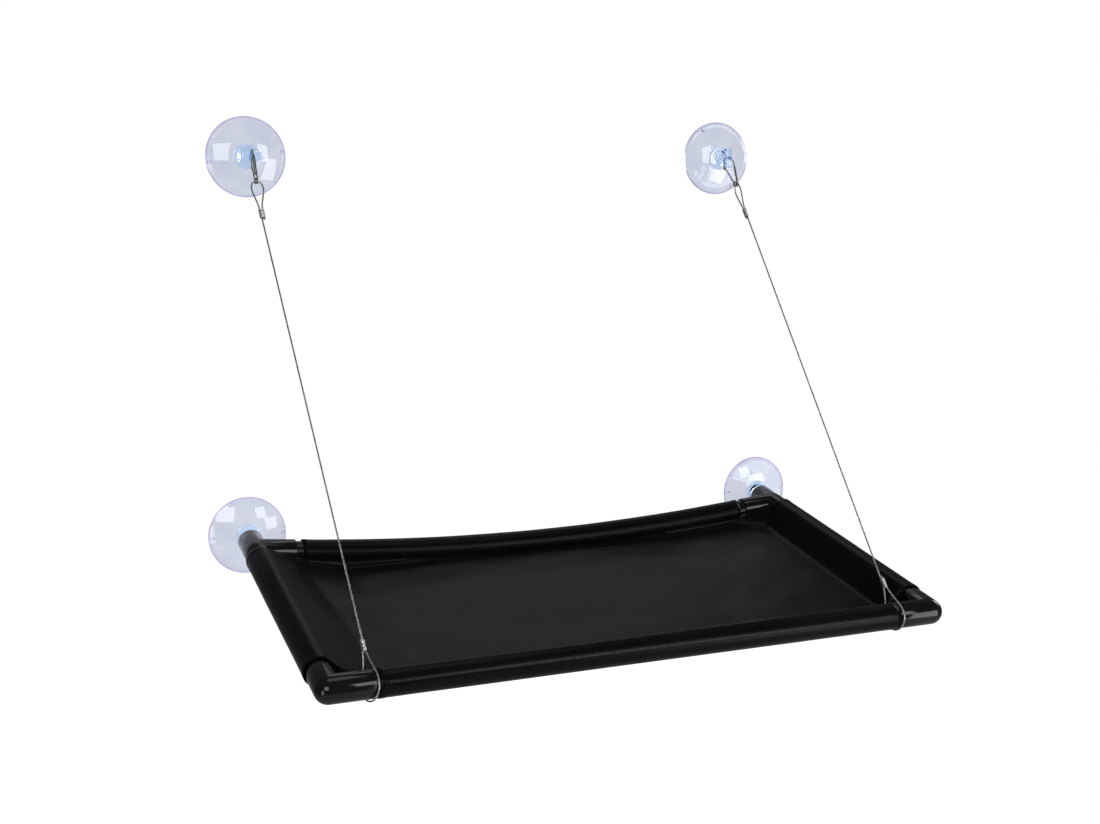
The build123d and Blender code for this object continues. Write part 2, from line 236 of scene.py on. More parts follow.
# %% [markdown]
# ## The camera
# The cords are judged by what the camera sees, so it comes first. It stands where the photograph
# was taken from: left of the middle, a little above the seat, turned to the right and down.

# %% Camera
CAMERA_PLACE = (-0.5367, -1.4022, 0.3357)
CAMERA_TURN = 0.388
CAMERA_DIP = 0.153
CAMERA_LENS = 48.2

camera = bpy.data.objects.new("camera", bpy.data.cameras.new("camera"))
camera.data.lens = CAMERA_LENS
camera.data.sensor_width = 36.0
camera.location = CAMERA_PLACE
camera.rotation_euler = (math.pi / 2 - CAMERA_DIP, 0, -CAMERA_TURN)
bpy.context.scene.collection.objects.link(camera)
bpy.context.scene.camera = camera

# %% [markdown]
# ## Small helpers
# Each piece is one mesh object that sits at the origin, with its place in its vertices. Most
# pieces are made with bmesh operators, so a helper turns a bmesh into such an object, smooths it,
# and keeps edges that are really sharp. Another helper says which solid the piece stands for.

# %% Helpers that finish a piece
def smooth(mesh, sharp):
    """Shades a mesh smooth, apart from edges that turn more than an angle."""
    mesh.shade_smooth()
    mesh.set_sharp_from_angle(angle=math.radians(sharp))


def finish_mesh(name, form, material, place=None, sharp=35):
    """Makes an object of a bmesh, with its place in its mesh."""
    if place is not None:
        form.transform(place)
    bmesh.ops.recalc_face_normals(form, faces=form.faces)
    mesh = bpy.data.meshes.new(name)
    form.to_mesh(mesh)
    form.free()
    smooth(mesh, sharp)
    piece = bpy.data.objects.new(name, mesh)
    piece.data.materials.append(material)
    bpy.context.scene.collection.objects.link(piece)
    return piece


def stand_for(piece, body, slot, *nodes):
    """Makes a piece ride on its body in place of the named solids."""
    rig.ride(piece, body)
    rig.slot(piece, slot)
    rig.replaces(piece, *nodes)


def modify(piece, kind, **values):
    """Adds a modifier, and writes what it makes into the piece's mesh."""
    tool = piece.modifiers.new(kind, kind)
    for key, value in values.items():
        setattr(tool, key, value)
    bpy.context.view_layer.update()
    ready = piece.evaluated_get(bpy.context.evaluated_depsgraph_get())
    mesh = bpy.data.meshes.new_from_object(ready)
    old = piece.data
    piece.modifiers.clear()
    piece.data = mesh
    bpy.data.meshes.remove(old)


def cut(piece, cutter, operation="DIFFERENCE"):
    """Cuts one piece with another, or joins them, and removes the cutter."""
    modify(piece, "BOOLEAN", object=cutter, operation=operation, solver="EXACT")
    bpy.data.objects.remove(cutter)


def round_edges(piece, width, angle):
    """Rounds the sharp edges of a piece, as a mould leaves them."""
    limit = math.radians(angle)
    modify(
        piece, "BEVEL", width=width, segments=3, limit_method="ANGLE", angle_limit=limit,
        miter_outer="MITER_ARC", harden_normals=False,
    )
    smooth(piece.data, 50)


# %% [markdown]
# ## Node helpers for the materials
# Every finish here is worked out by nodes, with no pictures. These helpers only keep the
# materials below short: one makes a material with its shader, and one adds a node and fills in
# its sockets, with numbers or with what other nodes give.

# %% Helpers for materials
def new_material(name):
    """An empty node material: returns it with its nodes and its main shader."""
    material = bpy.data.materials.new(name)
    material.use_nodes = True
    return material, material.node_tree, material.node_tree.nodes["Principled BSDF"]


def fill(socket, value):
    """Joins what another node gives to a socket, or sets its number or colour."""
    if isinstance(value, bpy.types.NodeSocket):
        socket.id_data.links.new(value, socket)
    else:
        socket.default_value = value


def feed(node, **values):
    """Sets a node's properties and fills its sockets, by name."""
    for key, value in values.items():
        if hasattr(node, key):
            setattr(node, key, value)
        else:
            fill(node.inputs[key.replace("_", " ")], value)
    return node


def add_node(tree, kind, result, **values):
    """Adds a node, feeds it, and returns the socket with its result."""
    return feed(tree.nodes.new(f"ShaderNode{kind}"), **values).outputs[result]


def point_on(tree, kind="Object", scale=(1, 1, 1)):
    """Where the surface is: on the piece itself, or on its own flat map."""
    point = add_node(tree, "TexCoord", kind)
    return add_node(tree, "Mapping", "Vector", Scale=scale, Vector=point)


def noise_of(tree, point, scale, detail=3.0, rough=0.5):
    """A soft random pattern at a place."""
    values = {"Scale": scale, "Detail": detail, "Roughness": rough, "Vector": point}
    return add_node(tree, "TexNoise", "Fac", **values)


def ramp_of(tree, value, *stops):
    """Turns a number into a colour, between colours that stand at given numbers."""
    ramp = tree.nodes.new("ShaderNodeValToRGB")
    elements = ramp.color_ramp.elements
    for index, (position, colour) in enumerate(stops):
        element = elements[index] if index < 2 else elements.new(position)
        element.position = position
        element.color = (*colour, 1)
    return feed(ramp, Fac=value).outputs["Color"]


def range_of(tree, value, low, high):
    """Turns a number from 0 to 1 into one between two others."""
    return add_node(tree, "MapRange", "Result", Value=value, To_Min=low, To_Max=high)


def bump(tree, height, distance, strength, **values):
    """Makes a surface look raised where a pattern is high."""
    values |= {"Height": height, "Distance": distance, "Strength": strength}
    return add_node(tree, "Bump", "Normal", **values)


def math_of(tree, operation, first, second):
    """The product of two numbers, or the larger one."""
    node = feed(tree.nodes.new("ShaderNodeMath"), operation=operation)
    fill(node.inputs[0], first)
    fill(node.inputs[1], second)
    return node.outputs["Value"]


# %% [markdown]
# ## The wire ropes
# Each rope is one length of thin steel rope. Its top end is folded back into an eye that hangs in
# the snap's coil, its lower end goes round the front bar, and a crimped ferrule closes each loop.
# The parts move with different bodies, so each rope is made in four stretches: the eye, the upper
# and the lower part of the straight run, and the loop. A real rope is twisted from strands, and
# they catch the light, so the strands are modelled: six of them wind round the route's own line.

# %% Steel for the strands
def rope_steel():
    """Drawn steel wire: grey, slightly dull, darker in places."""
    material, tree, shader = new_material("rope_steel")
    stain = noise_of(tree, point_on(tree), 400.0, 4.0)
    grey = ramp_of(tree, stain, (0.3, (0.26, 0.26, 0.265)), (0.7, (0.46, 0.46, 0.465)))
    feed(shader, Metallic=1.0, Base_Color=grey, Roughness=range_of(tree, stain, 0.26, 0.42))
    return material


rope_metal = rope_steel()

# %% [markdown]
# A route is a short list of given points, and the rope's line is the smooth spline that
# they steer. To wind strands round that line, its points are read back from Blender, and each
# strand goes round them in a helix. A frame that is carried along the line without twisting keeps
# the helix even in the bends.

# %% From a route to twisted strands
ROPE_RADIUS = 0.75 * MM
STRAND_COUNT = 6
STRAND_PITCH = 11.0 * MM
POINTS_PER_PITCH = 12


def wire_form(lines, radius=0.0, roundness=1, order=0):
    """Round wires along lines of points, as a bmesh; an order makes their bends smooth."""
    curve = bpy.data.curves.new("wire", "CURVE")
    curve.dimensions = "3D"
    curve.resolution_u = 24
    curve.bevel_depth = radius
    curve.bevel_resolution = roundness
    curve.use_fill_caps = True
    for line in lines:
        spline = curve.splines.new("NURBS" if order else "POLY")
        spline.points.add(len(line) - 1)
        for spot, point in zip(spline.points, line):
            spot.co = (*point, 1)
        if order:
            spline.order_u = order
            spline.use_endpoint_u = True
    holder = bpy.data.objects.new("wire", curve)
    mesh = bpy.data.meshes.new_from_object(holder)
    form = bmesh.new()
    form.from_mesh(mesh)
    bpy.data.objects.remove(holder)
    bpy.data.curves.remove(curve)
    bpy.data.meshes.remove(mesh)
    return form


def smooth_line(points):
    """The points of the smooth line that a route steers."""
    form = wire_form([points], order=3)
    line = [corner.co.copy() for corner in form.verts]
    form.free()
    return line


def even_steps(line, step):
    """The same line, with its points at even distances, and its length."""
    lengths = [(b - a).length for a, b in zip(line, line[1:])]
    total = sum(lengths)
    count = max(2, round(total / step))
    result = []
    index = 0
    gone = 0.0
    for mark in (total * number / count for number in range(count + 1)):
        while index < len(lengths) - 1 and gone + lengths[index] < mark:
            gone += lengths[index]
            index += 1
        share = (mark - gone) / max(lengths[index], 1e-9)
        result.append(line[index].lerp(line[index + 1], min(share, 1.0)))
    return result, total


def carried_frames(line):
    """At each point of a line, two directions across it that don't twist along it."""
    frames = []
    along = (line[1] - line[0]).normalized()
    side = along.orthogonal().normalized()
    for index, point in enumerate(line):
        after = line[min(index + 1, len(line) - 1)]
        turned = (after - line[max(index - 1, 0)]).normalized()
        side = along.rotation_difference(turned) @ side
        along = turned
        frames.append((point, side.copy(), along.cross(side).normalized()))
    return frames


def twisted_rope(name, points):
    """A rope of six strands round a core, along the smooth line of a route."""
    line, total = even_steps(smooth_line(points), STRAND_PITCH / POINTS_PER_PITCH)
    strand = ROPE_RADIUS / 3
    lines = [line]
    for index in range(STRAND_COUNT):
        helix = []
        for step, (point, side, up) in enumerate(carried_frames(line)):
            angle = 2 * math.pi * (index / STRAND_COUNT + step / POINTS_PER_PITCH)
            helix.append(point + (side * math.cos(angle) + up * math.sin(angle)) * strand * 2)
        lines.append(helix)
    piece = finish_mesh(name, wire_form(lines, strand), rope_metal, sharp=80)
    print(f"{name}: {total * 1000:.0f} mm, {len(piece.data.polygons)} faces")
    return piece, line


# %% [markdown]
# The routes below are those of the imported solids, in millimetres. Both ends of an eye and of a
# loop lie side by side in a ferrule. The run is straight and taut. It is cut in two, because the
# rope's own ends ride on different bodies: the lower part bends with the frame as it tilts, and
# the upper part follows the snap as it swings.

# %% Routes of the ropes
EYE_ROUTES = {
    "left": [
        (-271.85, -71.14, 306.45), (-272.48, -64.85, 315.45), (-275.12, -58.20, 324.71),
        (-277.40, -52.23, 333.06), (-274.80, -48.25, 338.62), (-268.00, -48.25, 338.62),
        (-265.40, -52.23, 333.06), (-267.68, -58.20, 324.71), (-270.58, -64.85, 315.45),
        (-269.83, -72.28, 304.81),
    ],
    "right": [
        (226.37, -69.47, 304.08), (225.91, -63.09, 313.04), (226.00, -58.74, 323.93),
        (226.00, -54.64, 333.61), (226.00, -48.56, 337.68), (226.00, -43.02, 333.73),
        (226.00, -44.87, 326.65), (226.00, -52.67, 319.62), (225.91, -61.54, 311.93),
        (226.45, -69.08, 301.35),
    ],
}
LOOP_ROUTES = {
    "left": [
        (-247.69, -301.32, -21.66), (-247.07, -307.61, -30.66), (-242.73, -331.77, -42.13),
        (-243.92, -335.61, -53.47), (-247.50, -330.02, -63.51), (-251.08, -318.72, -65.55),
        (-252.27, -309.23, -58.25), (-247.68, -306.15, -31.71), (-248.43, -298.72, -21.07),
    ],
    "right": [
        (242.98, -299.80, -22.73), (243.44, -306.18, -31.69), (241.31, -309.43, -58.53),
        (241.87, -318.60, -65.21), (243.50, -329.61, -62.98), (245.13, -335.32, -53.31),
        (245.69, -332.01, -42.46), (243.74, -307.71, -30.60), (243.20, -300.17, -20.02),
    ],
}
EYE_LENGTH = 88.0 * MM
LOOP_LENGTH = 121.5 * MM
UPPER_SHARE = 0.3


# %% Make the eyes, runs and loops
def in_metres(route):
    """A route's points as vectors in metres."""
    return [Vector(point) * MM for point in route]


def rope_piece(name, node, points, length, lay):
    """One stretch of rope, declared with its real length."""
    piece, line = twisted_rope(name, points)
    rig.slot(piece, "wire_rope")
    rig.replaces(piece, node)
    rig.cord(
        piece, exit=points[0], length=length, diameter=ROPE_RADIUS * 2, far_end="object",
        stiffness="stiff", lay=lay, path=line,
    )
    return piece


for side, _ in SIDES:
    snap = f"{side}_snap"
    eye_line, loop_line = in_metres(EYE_ROUTES[side]), in_metres(LOOP_ROUTES[side])
    eye = rope_piece(f"{side}_rope_eye", f"{side}_cable_eye", eye_line, EYE_LENGTH, "hanging")
    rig.ride(eye, snap)
    loop = rope_piece(f"{side}_rope_loop", f"{side}_cable_loop", loop_line, LOOP_LENGTH, "taut")
    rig.ride(loop, "perch_frame")
    split = eye_line[0].lerp(loop_line[0], UPPER_SHARE)
    for part, tip, body in (("upper", eye_line[0], snap), ("lower", loop_line[0], "perch_frame")):
        run = [tip, tip.lerp(split, 0.5), split]
        length = (split - tip).length
        piece = rope_piece(f"{side}_rope_{part}_run", f"{side}_cable_run", run, length, "taut")
        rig.blend(piece, "window_cups", body, start=split, end=tip)

# %% [markdown]
# ## Hard finishes
# The fittings and pipes are black moulded plastic. Up close such plastic isn't one flat black: the
# mould leaves a faint orange-peel texture, and handling makes some patches shinier than others.
# The ferrules are soft aluminium, bright where the crimping tool pressed them. The snaps are
# spring wire, darker and greyer, with fine drawing marks.

# %% Black plastic
FINE_RELIEF = 0.02 * MM


def black_plastic(name, grey, shine):
    """Moulded plastic with a faint orange peel and uneven shine."""
    material, tree, shader = new_material(name)
    point = point_on(tree)
    patches = noise_of(tree, point, 22.0, 4.0)
    scuffs = noise_of(tree, point, 90.0, 6.0, 0.65)
    high = (grey * 1.25, grey * 1.2, grey * 1.25)
    peel = noise_of(tree, point, 700.0, 2.0)
    feed(
        shader,
        Base_Color=ramp_of(tree, patches, (0.3, (grey * 0.8,) * 3), (0.7, high)),
        Roughness=range_of(tree, scuffs, shine, shine + 0.08),
        Normal=bump(tree, peel, FINE_RELIEF, 0.12),
        Specular_IOR_Level=0.25,
    )
    return material


fitting_plastic = black_plastic("fitting_plastic", 0.004, 0.06)
pipe_plastic = black_plastic("pipe_plastic", 0.004, 0.15)
print("plastics:", fitting_plastic.name, pipe_plastic.name)

# %% Aluminium and spring wire
def bare_metal(name, dark, bright, shine, grain):
    """Metal with patches of two greys and fine marks in its shine."""
    material, tree, shader = new_material(name)
    tone = noise_of(tree, point_on(tree), grain, 5.0, 0.6)
    marks = noise_of(tree, point_on(tree, scale=(1, 1, 6)), grain * 6, 3.0)
    feed(
        shader,
        Metallic=1.0,
        Base_Color=ramp_of(tree, tone, (0.3, dark), (0.7, bright)),
        Roughness=range_of(tree, tone, shine, shine + 0.15),
        Normal=bump(tree, marks, FINE_RELIEF, 0.6),
    )
    return material


ferrule_metal = bare_metal("ferrule_metal", (0.45, 0.45, 0.44), (0.70, 0.70, 0.69), 0.34, 500.0)
spring_metal = bare_metal("spring_metal", (0.13, 0.135, 0.11), (0.30, 0.31, 0.26), 0.18, 350.0)
print("metals:", ferrule_metal.name, spring_metal.name)

# %% [markdown]
# ## Clear vinyl
# The suction cups are soft clear vinyl with a faint violet tint. Light goes through them, so the
# shader is a transmitting one, with the refraction of plastic. Where the vinyl is thick, light
# goes further through it and takes more of its colour. Each cup's flat map holds how far a place
# is from the cup's axis, so the rim can be more violet and the knob more blue than the thin dome.
# The two small nibs count as rim.

# %% The cup material
def clear_vinyl():
    """Soft clear plastic, tinted by its thickness, with soft uneven shine."""
    material, tree, shader = new_material("clear_vinyl")
    cloud = noise_of(tree, point_on(tree), 35.0, 3.0)
    dome = ramp_of(tree, cloud, (0.3, (0.56, 0.60, 0.715)), (0.7, (0.66, 0.685, 0.79)))
    from_axis = add_node(tree, "SeparateXYZ", "X", Vector=point_on(tree, "UV"))
    knob, rim, clear = (0.70, 0.86, 1.02), (0.72, 0.60, 0.86), (1, 1, 1)
    parts = ramp_of(tree, from_axis, (0.28, knob), (0.33, clear), (0.955, clear), (0.985, rim))
    values = {"data_type": "RGBA", "blend_type": "MULTIPLY", "Factor": 1.0, "A": dome, "B": parts}
    tint = add_node(tree, "Mix", "Result", **values)
    shine = range_of(tree, cloud, 0.01, 0.05)
    feed(shader, Transmission_Weight=1.0, IOR=1.46, Base_Color=tint, Roughness=shine)
    return material


cup_vinyl = clear_vinyl()

# %% [markdown]
# ## Suction cups
# All four cups come from one mould: a thin dome with a flat land at its rim, a round knob, and a
# flat tongue with a cross hole at the end of the knob. A dome and knob are turned shapes, so one
# profile is spun round the cup's axis. The profile runs from the axis on the glass side, out under
# the dome, round the rim, and back over the dome and up the knob. The neck between dome and knob
# is rounded, because a soft moulding never has a sharp inner corner.

# %% Sizes of a cup
low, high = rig.box("upper_left_cup")
CUP_RADIUS = (high.z - low.z) / 2
KNOB_END = 19.0 * MM
TONGUE_END = 31.0 * MM
TONGUE_ROOT = 2.0 * MM
TONGUE_WIDTH = 20.4 * MM
TONGUE_THICKNESS = 7.0 * MM
TONGUE_CORNER = 2.6 * MM
TONGUE_EDGE = 0.9 * MM
TURN_STEPS = 96
MERGE = 0.002 * MM
HOLE_RADIUS = 2.4 * MM
HOLE_DISTANCE = 26.0 * MM
NIB_RADIUS = 1.3 * MM
NIB_SETBACK = 4.6 * MM
NIB_HEIGHT = 3.4 * MM
NIB_LENGTH = 2.4 * MM
RIM = ((37.15, 0), (37.5, 0.3), (37.5, 0.95), (37.2, 1.3))
KNOB = ((10.3, 14.0), (10.3, 17.9), (10.1, 18.6), (9.4, 19.0), (0, 19.0))
print(f"cup {CUP_RADIUS * 2000:.1f} mm across, {TONGUE_END * 1000:.0f} mm deep")


def bow(start, pull, end, count):
    """Points on a bow from start to end that leans towards pull."""
    start, pull, end = Vector(start), Vector(pull), Vector(end)
    shares = [index / count for index in range(count + 1)]
    return [start.lerp(pull, share).lerp(pull.lerp(end, share), share) for share in shares]


def cup_profile():
    """Half of the cup's cross-section, as distances from its axis and from the glass."""
    points = bow((0, 3.0), (17.5, 2.9), (33.5, 0), 10) + [Vector(pair) for pair in RIM]
    points += bow((36.6, 1.55), (24.2, 7.6), (13.4, 8.5), 14)
    points += bow((12.6, 8.6), (10.4, 8.9), (10.3, 11.2), 5) + [Vector(pair) for pair in KNOB]
    return [point * MM for point in points]


# %% Turn the dome and knob, and add the tongue and nibs
def spun(profile):
    """Spins a profile round the Z axis into a closed form."""
    form = bmesh.new()
    corners = [form.verts.new((point.x, 0, point.y)) for point in profile]
    edges = [form.edges.new(pair) for pair in zip(corners, corners[1:])]
    bmesh.ops.spin(
        form, geom=corners + edges, cent=(0, 0, 0), axis=(0, 0, 1), angle=math.tau,
        steps=TURN_STEPS, use_merge=True,
    )
    bmesh.ops.remove_doubles(form, verts=form.verts, dist=MERGE)
    return form


def bevel(form, edges, offset, segments):
    """Rounds edges of a bmesh."""
    bmesh.ops.bevel(
        form, geom=edges, offset=offset, affect="EDGES", segments=segments, profile=0.5, material=-1
    )


def tongue_form():
    """The flat tongue: a bar of the knob's width with rounded corners and edges."""
    form = bmesh.new()
    bmesh.ops.create_cube(form, size=1)
    length = TONGUE_END - KNOB_END + TONGUE_ROOT
    bmesh.ops.scale(form, vec=(TONGUE_WIDTH, TONGUE_THICKNESS, length), verts=form.verts)
    bmesh.ops.translate(form, vec=(0, 0, TONGUE_END - length / 2), verts=form.verts)
    ends = [(edge, edge.verts[0].co, edge.verts[1].co) for edge in form.edges]
    upright = [edge for edge, a, b in ends if abs(a.y - b.y) > MERGE and a.z > KNOB_END]
    bevel(form, upright, TONGUE_CORNER, 6)
    inner = [edge for edge in form.edges if len(edge.link_faces) == 2]
    bevel(form, [edge for edge in inner if edge.calc_face_angle() > 0.8], TONGUE_EDGE, 4)
    return form


def round_bar(radius, length, segments, taper=1.0):
    """A round bar along Z, with its middle at the origin."""
    form = bmesh.new()
    bmesh.ops.create_cone(
        form, cap_ends=True, segments=segments, radius1=radius, radius2=radius * taper,
        depth=length,
    )
    return form


def radial_map(mesh, nib_turn):
    """Writes each corner's distance from the axis, and from the glass, as the flat map."""
    nib = Vector((math.cos(nib_turn), math.sin(nib_turn))) * (CUP_RADIUS - NIB_SETBACK)
    while mesh.uv_layers:
        mesh.uv_layers.remove(mesh.uv_layers[0])
    layer = mesh.uv_layers.new(name="flat")
    for loop, spot in zip(mesh.loops, layer.data):
        place = mesh.vertices[loop.vertex_index].co
        from_nib = min((place.xy - nib).length, (place.xy + nib).length)
        share = 1.0 if from_nib < NIB_RADIUS * 1.02 else place.xy.length / CUP_RADIUS
        spot.uv = (share, place.z / TONGUE_END)


def suction_cup(name, tongue_turn, nib_turn):
    """A straight cup with the glass at zero and its tongue pointing up Z."""
    cup = finish_mesh(name, spun(cup_profile()), cup_vinyl)
    turned = Matrix.Rotation(tongue_turn, 4, "Z")
    cut(cup, finish_mesh("tongue", tongue_form(), cup_vinyl, turned), "UNION")
    for half_turn in (0, math.pi):
        place = Matrix.Rotation(nib_turn + half_turn, 4, "Z")
        place @= Matrix.Translation((CUP_RADIUS - NIB_SETBACK, 0, NIB_HEIGHT))
        nib = round_bar(NIB_RADIUS, NIB_LENGTH, 20, 0.8)
        cut(cup, finish_mesh("nib", nib, cup_vinyl, place), "UNION")
    crosswise = Matrix.Rotation(math.pi / 2, 4, "X")
    place = turned @ Matrix.Translation((0, 0, HOLE_DISTANCE)) @ crosswise
    hole = round_bar(HOLE_RADIUS, TONGUE_THICKNESS * 2, 40)
    cut(cup, finish_mesh("hole", hole, cup_vinyl, place))
    smooth(cup.data, 50)
    radial_map(cup.data, nib_turn)
    print(f"{name}: {len(cup.data.vertices)} corners")
    return cup


# %% Put the upper cups on the glass
def on_glass(centre):
    """Turns a cup's axis away from the glass, and moves it to its place."""
    return Matrix.Translation(centre) @ Matrix.Rotation(math.pi / 2, 4, "X")


UPPER_TURNS = {"left": (0.0, 9.0), "right": (90.0, 121.0)}
for side, turns in UPPER_TURNS.items():
    name = f"upper_{side}_cup"
    cup = suction_cup(f"{name}_vinyl", *map(math.radians, turns))
    low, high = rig.box(name)
    cup.data.transform(on_glass(Vector(((low.x + high.x) / 2, 0, high.z - CUP_RADIUS))))
    stand_for(cup, "window_cups", "clear_vinyl", name)

# %% [markdown]
# The lower cups are the same moulding, with the knob pushed into a tee. The soft neck bends, so
# that the knob lies in line with the sloping frame. Each point of the straight cup has two places:
# where it is on a cup that points straight out, and where it would be in line with the frame. A
# smooth step along the neck goes from the one to the other. The same stretch bends when the perch
# is tilted.

# %% Bend the lower cups into the frame's slope
NECK_START = 8.0 * MM
NECK_END = 17.0 * MM
NECK_HALF = Vector((0, 5.0 * MM, 0))


def smooth_step(value, low, high):
    """From 0 at low to 1 at high, with a soft start and end."""
    share = min(max((value - low) / (high - low), 0.0), 1.0)
    return share * share * (3 - 2 * share)


for side, sign in SIDES:
    name = f"lower_{side}_cup"
    cup = suction_cup(f"{name}_vinyl", 0.0, 0.0)
    across = sign * half_width
    straight = on_glass(Vector((across, 0, 0)))
    for vertex in cup.data.vertices:
        depth = vertex.co.z
        sloping = on_frame(across + vertex.co.x, depth + pivot.y, vertex.co.y)
        bend = smooth_step(depth, NECK_START, NECK_END)
        vertex.co = (straight @ vertex.co).lerp(sloping, bend)
    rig.slot(cup, "clear_vinyl")
    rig.replaces(cup, name)
    neck = on_frame(across, 0)
    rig.blend(cup, "window_cups", "perch_frame", start=neck + NECK_HALF, end=neck - NECK_HALF)

# %% [markdown]
# ## The corner fittings
# The perch is a kit: pipes pushed into moulded fittings. A front elbow joins the front bar and a
# side bar, and its outer corner is a quarter of a ball. One leg is pulled out of a circle, ring by
# ring, from the bottom of its socket out to the mouth, round the lip, and back to the corner.
# There the ring's inner half stays on the mitre between the legs, and its outer half turns round
# the corner to make the ball. Mirroring the leg across the mitre makes the other one.

# %% Pull rings into a fitting
LIP = 0.7 * MM
SOCKET_RADIUS = pipe_radius + 0.1 * MM
ELBOW_LEG = 38.0 * MM
SOCKET_DEPTH = 25.0 * MM
RING_SIDES = 64


def extruded(form, edges):
    """Extrudes edges: returns the new boundary edges and their corners."""
    made = bmesh.ops.extrude_edge_only(form, edges=edges)["geom"]
    fresh = [part for part in made if isinstance(part, bmesh.types.BMEdge) and part.is_boundary]
    return fresh, [part for part in made if isinstance(part, bmesh.types.BMVert)]


def pull_ring(form, ring, move):
    """Extrudes a ring of edges, moves each new corner, and returns the new ring."""
    ring, corners = extruded(form, ring)
    for corner in corners:
        corner.co = move(corner.co)
    return ring


def socket_and_lip(form, mouth, depth):
    """Starts a leg along X: the blind socket, then the rounded lip at its mouth."""
    bmesh.ops.create_circle(form, cap_ends=True, segments=RING_SIDES, radius=SOCKET_RADIUS)
    turn = Matrix.Rotation(math.pi / 2, 4, "Y")
    bmesh.ops.transform(form, matrix=turn, verts=form.verts)
    bmesh.ops.translate(form, vec=(mouth - depth, 0, 0), verts=form.verts)
    ring = [edge for edge in form.edges if edge.is_boundary]
    for radius, along in (
        (SOCKET_RADIUS, mouth - LIP),
        (SOCKET_RADIUS + LIP * 0.3, mouth - LIP * 0.3),
        ((SOCKET_RADIUS + fitting_radius) / 2, mouth),
        (fitting_radius - LIP * 0.3, mouth - LIP * 0.3),
        (fitting_radius, mouth - LIP),
    ):

        def widen(spot, radius=radius, along=along):
            across = Vector((0, spot.y, spot.z)).normalized() * radius
            return Vector((along, across.y, across.z))

        ring = pull_ring(form, ring, widen)
    return ring


# %% Make the elbows
BALL_STEPS = 9
MITRE_MERGE = 0.01 * MM
ELBOW_ROUNDING = 0.8 * MM


def elbow_form():
    """An elbow with its corner at the origin, one leg along X and the other along Y."""
    form = bmesh.new()
    ring = socket_and_lip(form, ELBOW_LEG, SOCKET_DEPTH)
    for step in range(BALL_STEPS + 1):
        turn = math.pi / 4 * step / BALL_STEPS

        def round_corner(spot, step=step, turn=turn):
            across = spot.y
            if step and across <= 0:
                across = -math.hypot(spot.x, spot.y)
            if across > 0:
                return Vector((across, across, spot.z))
            return Vector((across * math.sin(turn), across * math.cos(turn), spot.z))

        ring = pull_ring(form, ring, round_corner)
    everything = form.verts[:] + form.edges[:] + form.faces[:]
    mitre = Matrix.Rotation(-math.pi / 4, 4, "Z")
    bmesh.ops.mirror(form, geom=everything, matrix=mitre, axis="Y", merge_dist=-1)
    bmesh.ops.remove_doubles(form, verts=form.verts, dist=MITRE_MERGE)
    return form


for side, sign in SIDES:
    name = f"front_{side}_elbow"
    lay = Matrix(((-sign, 0, 0, sign * half_width), (0, 1, 0, -reach), (0, 0, 1, 0), (0, 0, 0, 1)))
    elbow = finish_mesh(f"{name}_fitting", elbow_form(), fitting_plastic, on_slope @ lay)
    round_edges(elbow, ELBOW_ROUNDING, 35)
    stand_for(elbow, "perch_frame", "black_pipe", name)
    print(f"{elbow.name}: {len(elbow.data.polygons)} faces")

# %% [markdown]
# A rear tee has a straight run, which takes the cup's knob at one end and the side pipe at the
# other, and a branch for the rear bar, turned a little downward because the bar bows. Both are
# round bars, joined and then bored, so here Boolean modifiers are the plain way. A Bevel
# modifier then rounds the mouths and the seam where branch and run meet.

# %% Make the tees
BRANCH_TURN = math.radians(6.35)
REAR_SETBACK = 28.8 * MM
BRANCH_LEG = 37.0 * MM
TEE_MOUTH = 3.5 * MM
TEE_TAIL = 66.0 * MM
OVERRUN = 5.0 * MM
TEE_ROUNDING = 0.55 * MM


def bar_piece(name, start, end, radius):
    """A round bar of the fittings' plastic between two points."""
    turn = Vector((0, 0, 1)).rotation_difference(end - start).to_matrix().to_4x4()
    place = Matrix.Translation((start + end) / 2) @ turn
    bar = round_bar(radius, (end - start).length, RING_SIDES)
    return finish_mesh(name, bar, fitting_plastic, place)


def branch_point(sign, distance):
    """A point on the branch's axis, in the plane of the frame."""
    out = math.cos(BRANCH_TURN) * distance
    return Vector((sign * (half_width - out), -REAR_SETBACK, -math.sin(BRANCH_TURN) * distance))


for side, sign in SIDES:
    mouth = Vector((sign * half_width, -TEE_MOUTH, 0))
    tail = Vector((sign * half_width, -TEE_TAIL, 0))
    slack = Vector((0, OVERRUN, 0))
    root = branch_point(sign, 0)
    past_tip = branch_point(sign, BRANCH_LEG + OVERRUN)
    tee = bar_piece(f"rear_{side}_tee_fitting", mouth, tail, fitting_radius)
    branch = bar_piece("branch", root, branch_point(sign, BRANCH_LEG), fitting_radius)
    cut(tee, branch, "UNION")
    cut(tee, bar_piece("bore", mouth + slack, tail - slack, SOCKET_RADIUS))
    cut(tee, bar_piece("bore", root, past_tip, SOCKET_RADIUS))
    round_edges(tee, TEE_ROUNDING, 40)
    tee.data.transform(on_slope)
    stand_for(tee, "perch_frame", "black_pipe", f"rear_{side}_tee")
    print(f"{tee.name}: {len(tee.data.polygons)} faces")

# %% [markdown]
# ## The pipes
# Three pipes are hidden in their sleeves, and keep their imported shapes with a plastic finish. The
# rear one shows for a short stretch beside each tee, and it bows, so it's swept as a curve: two
# straight ends that stay in the tees, and an arc between them.

# %% Dress the hidden pipes
for name in ("front_pipe", "left_pipe", "right_pipe"):
    node = frame["nodes"][name]
    node.data.materials.clear()
    node.data.materials.append(pipe_plastic)

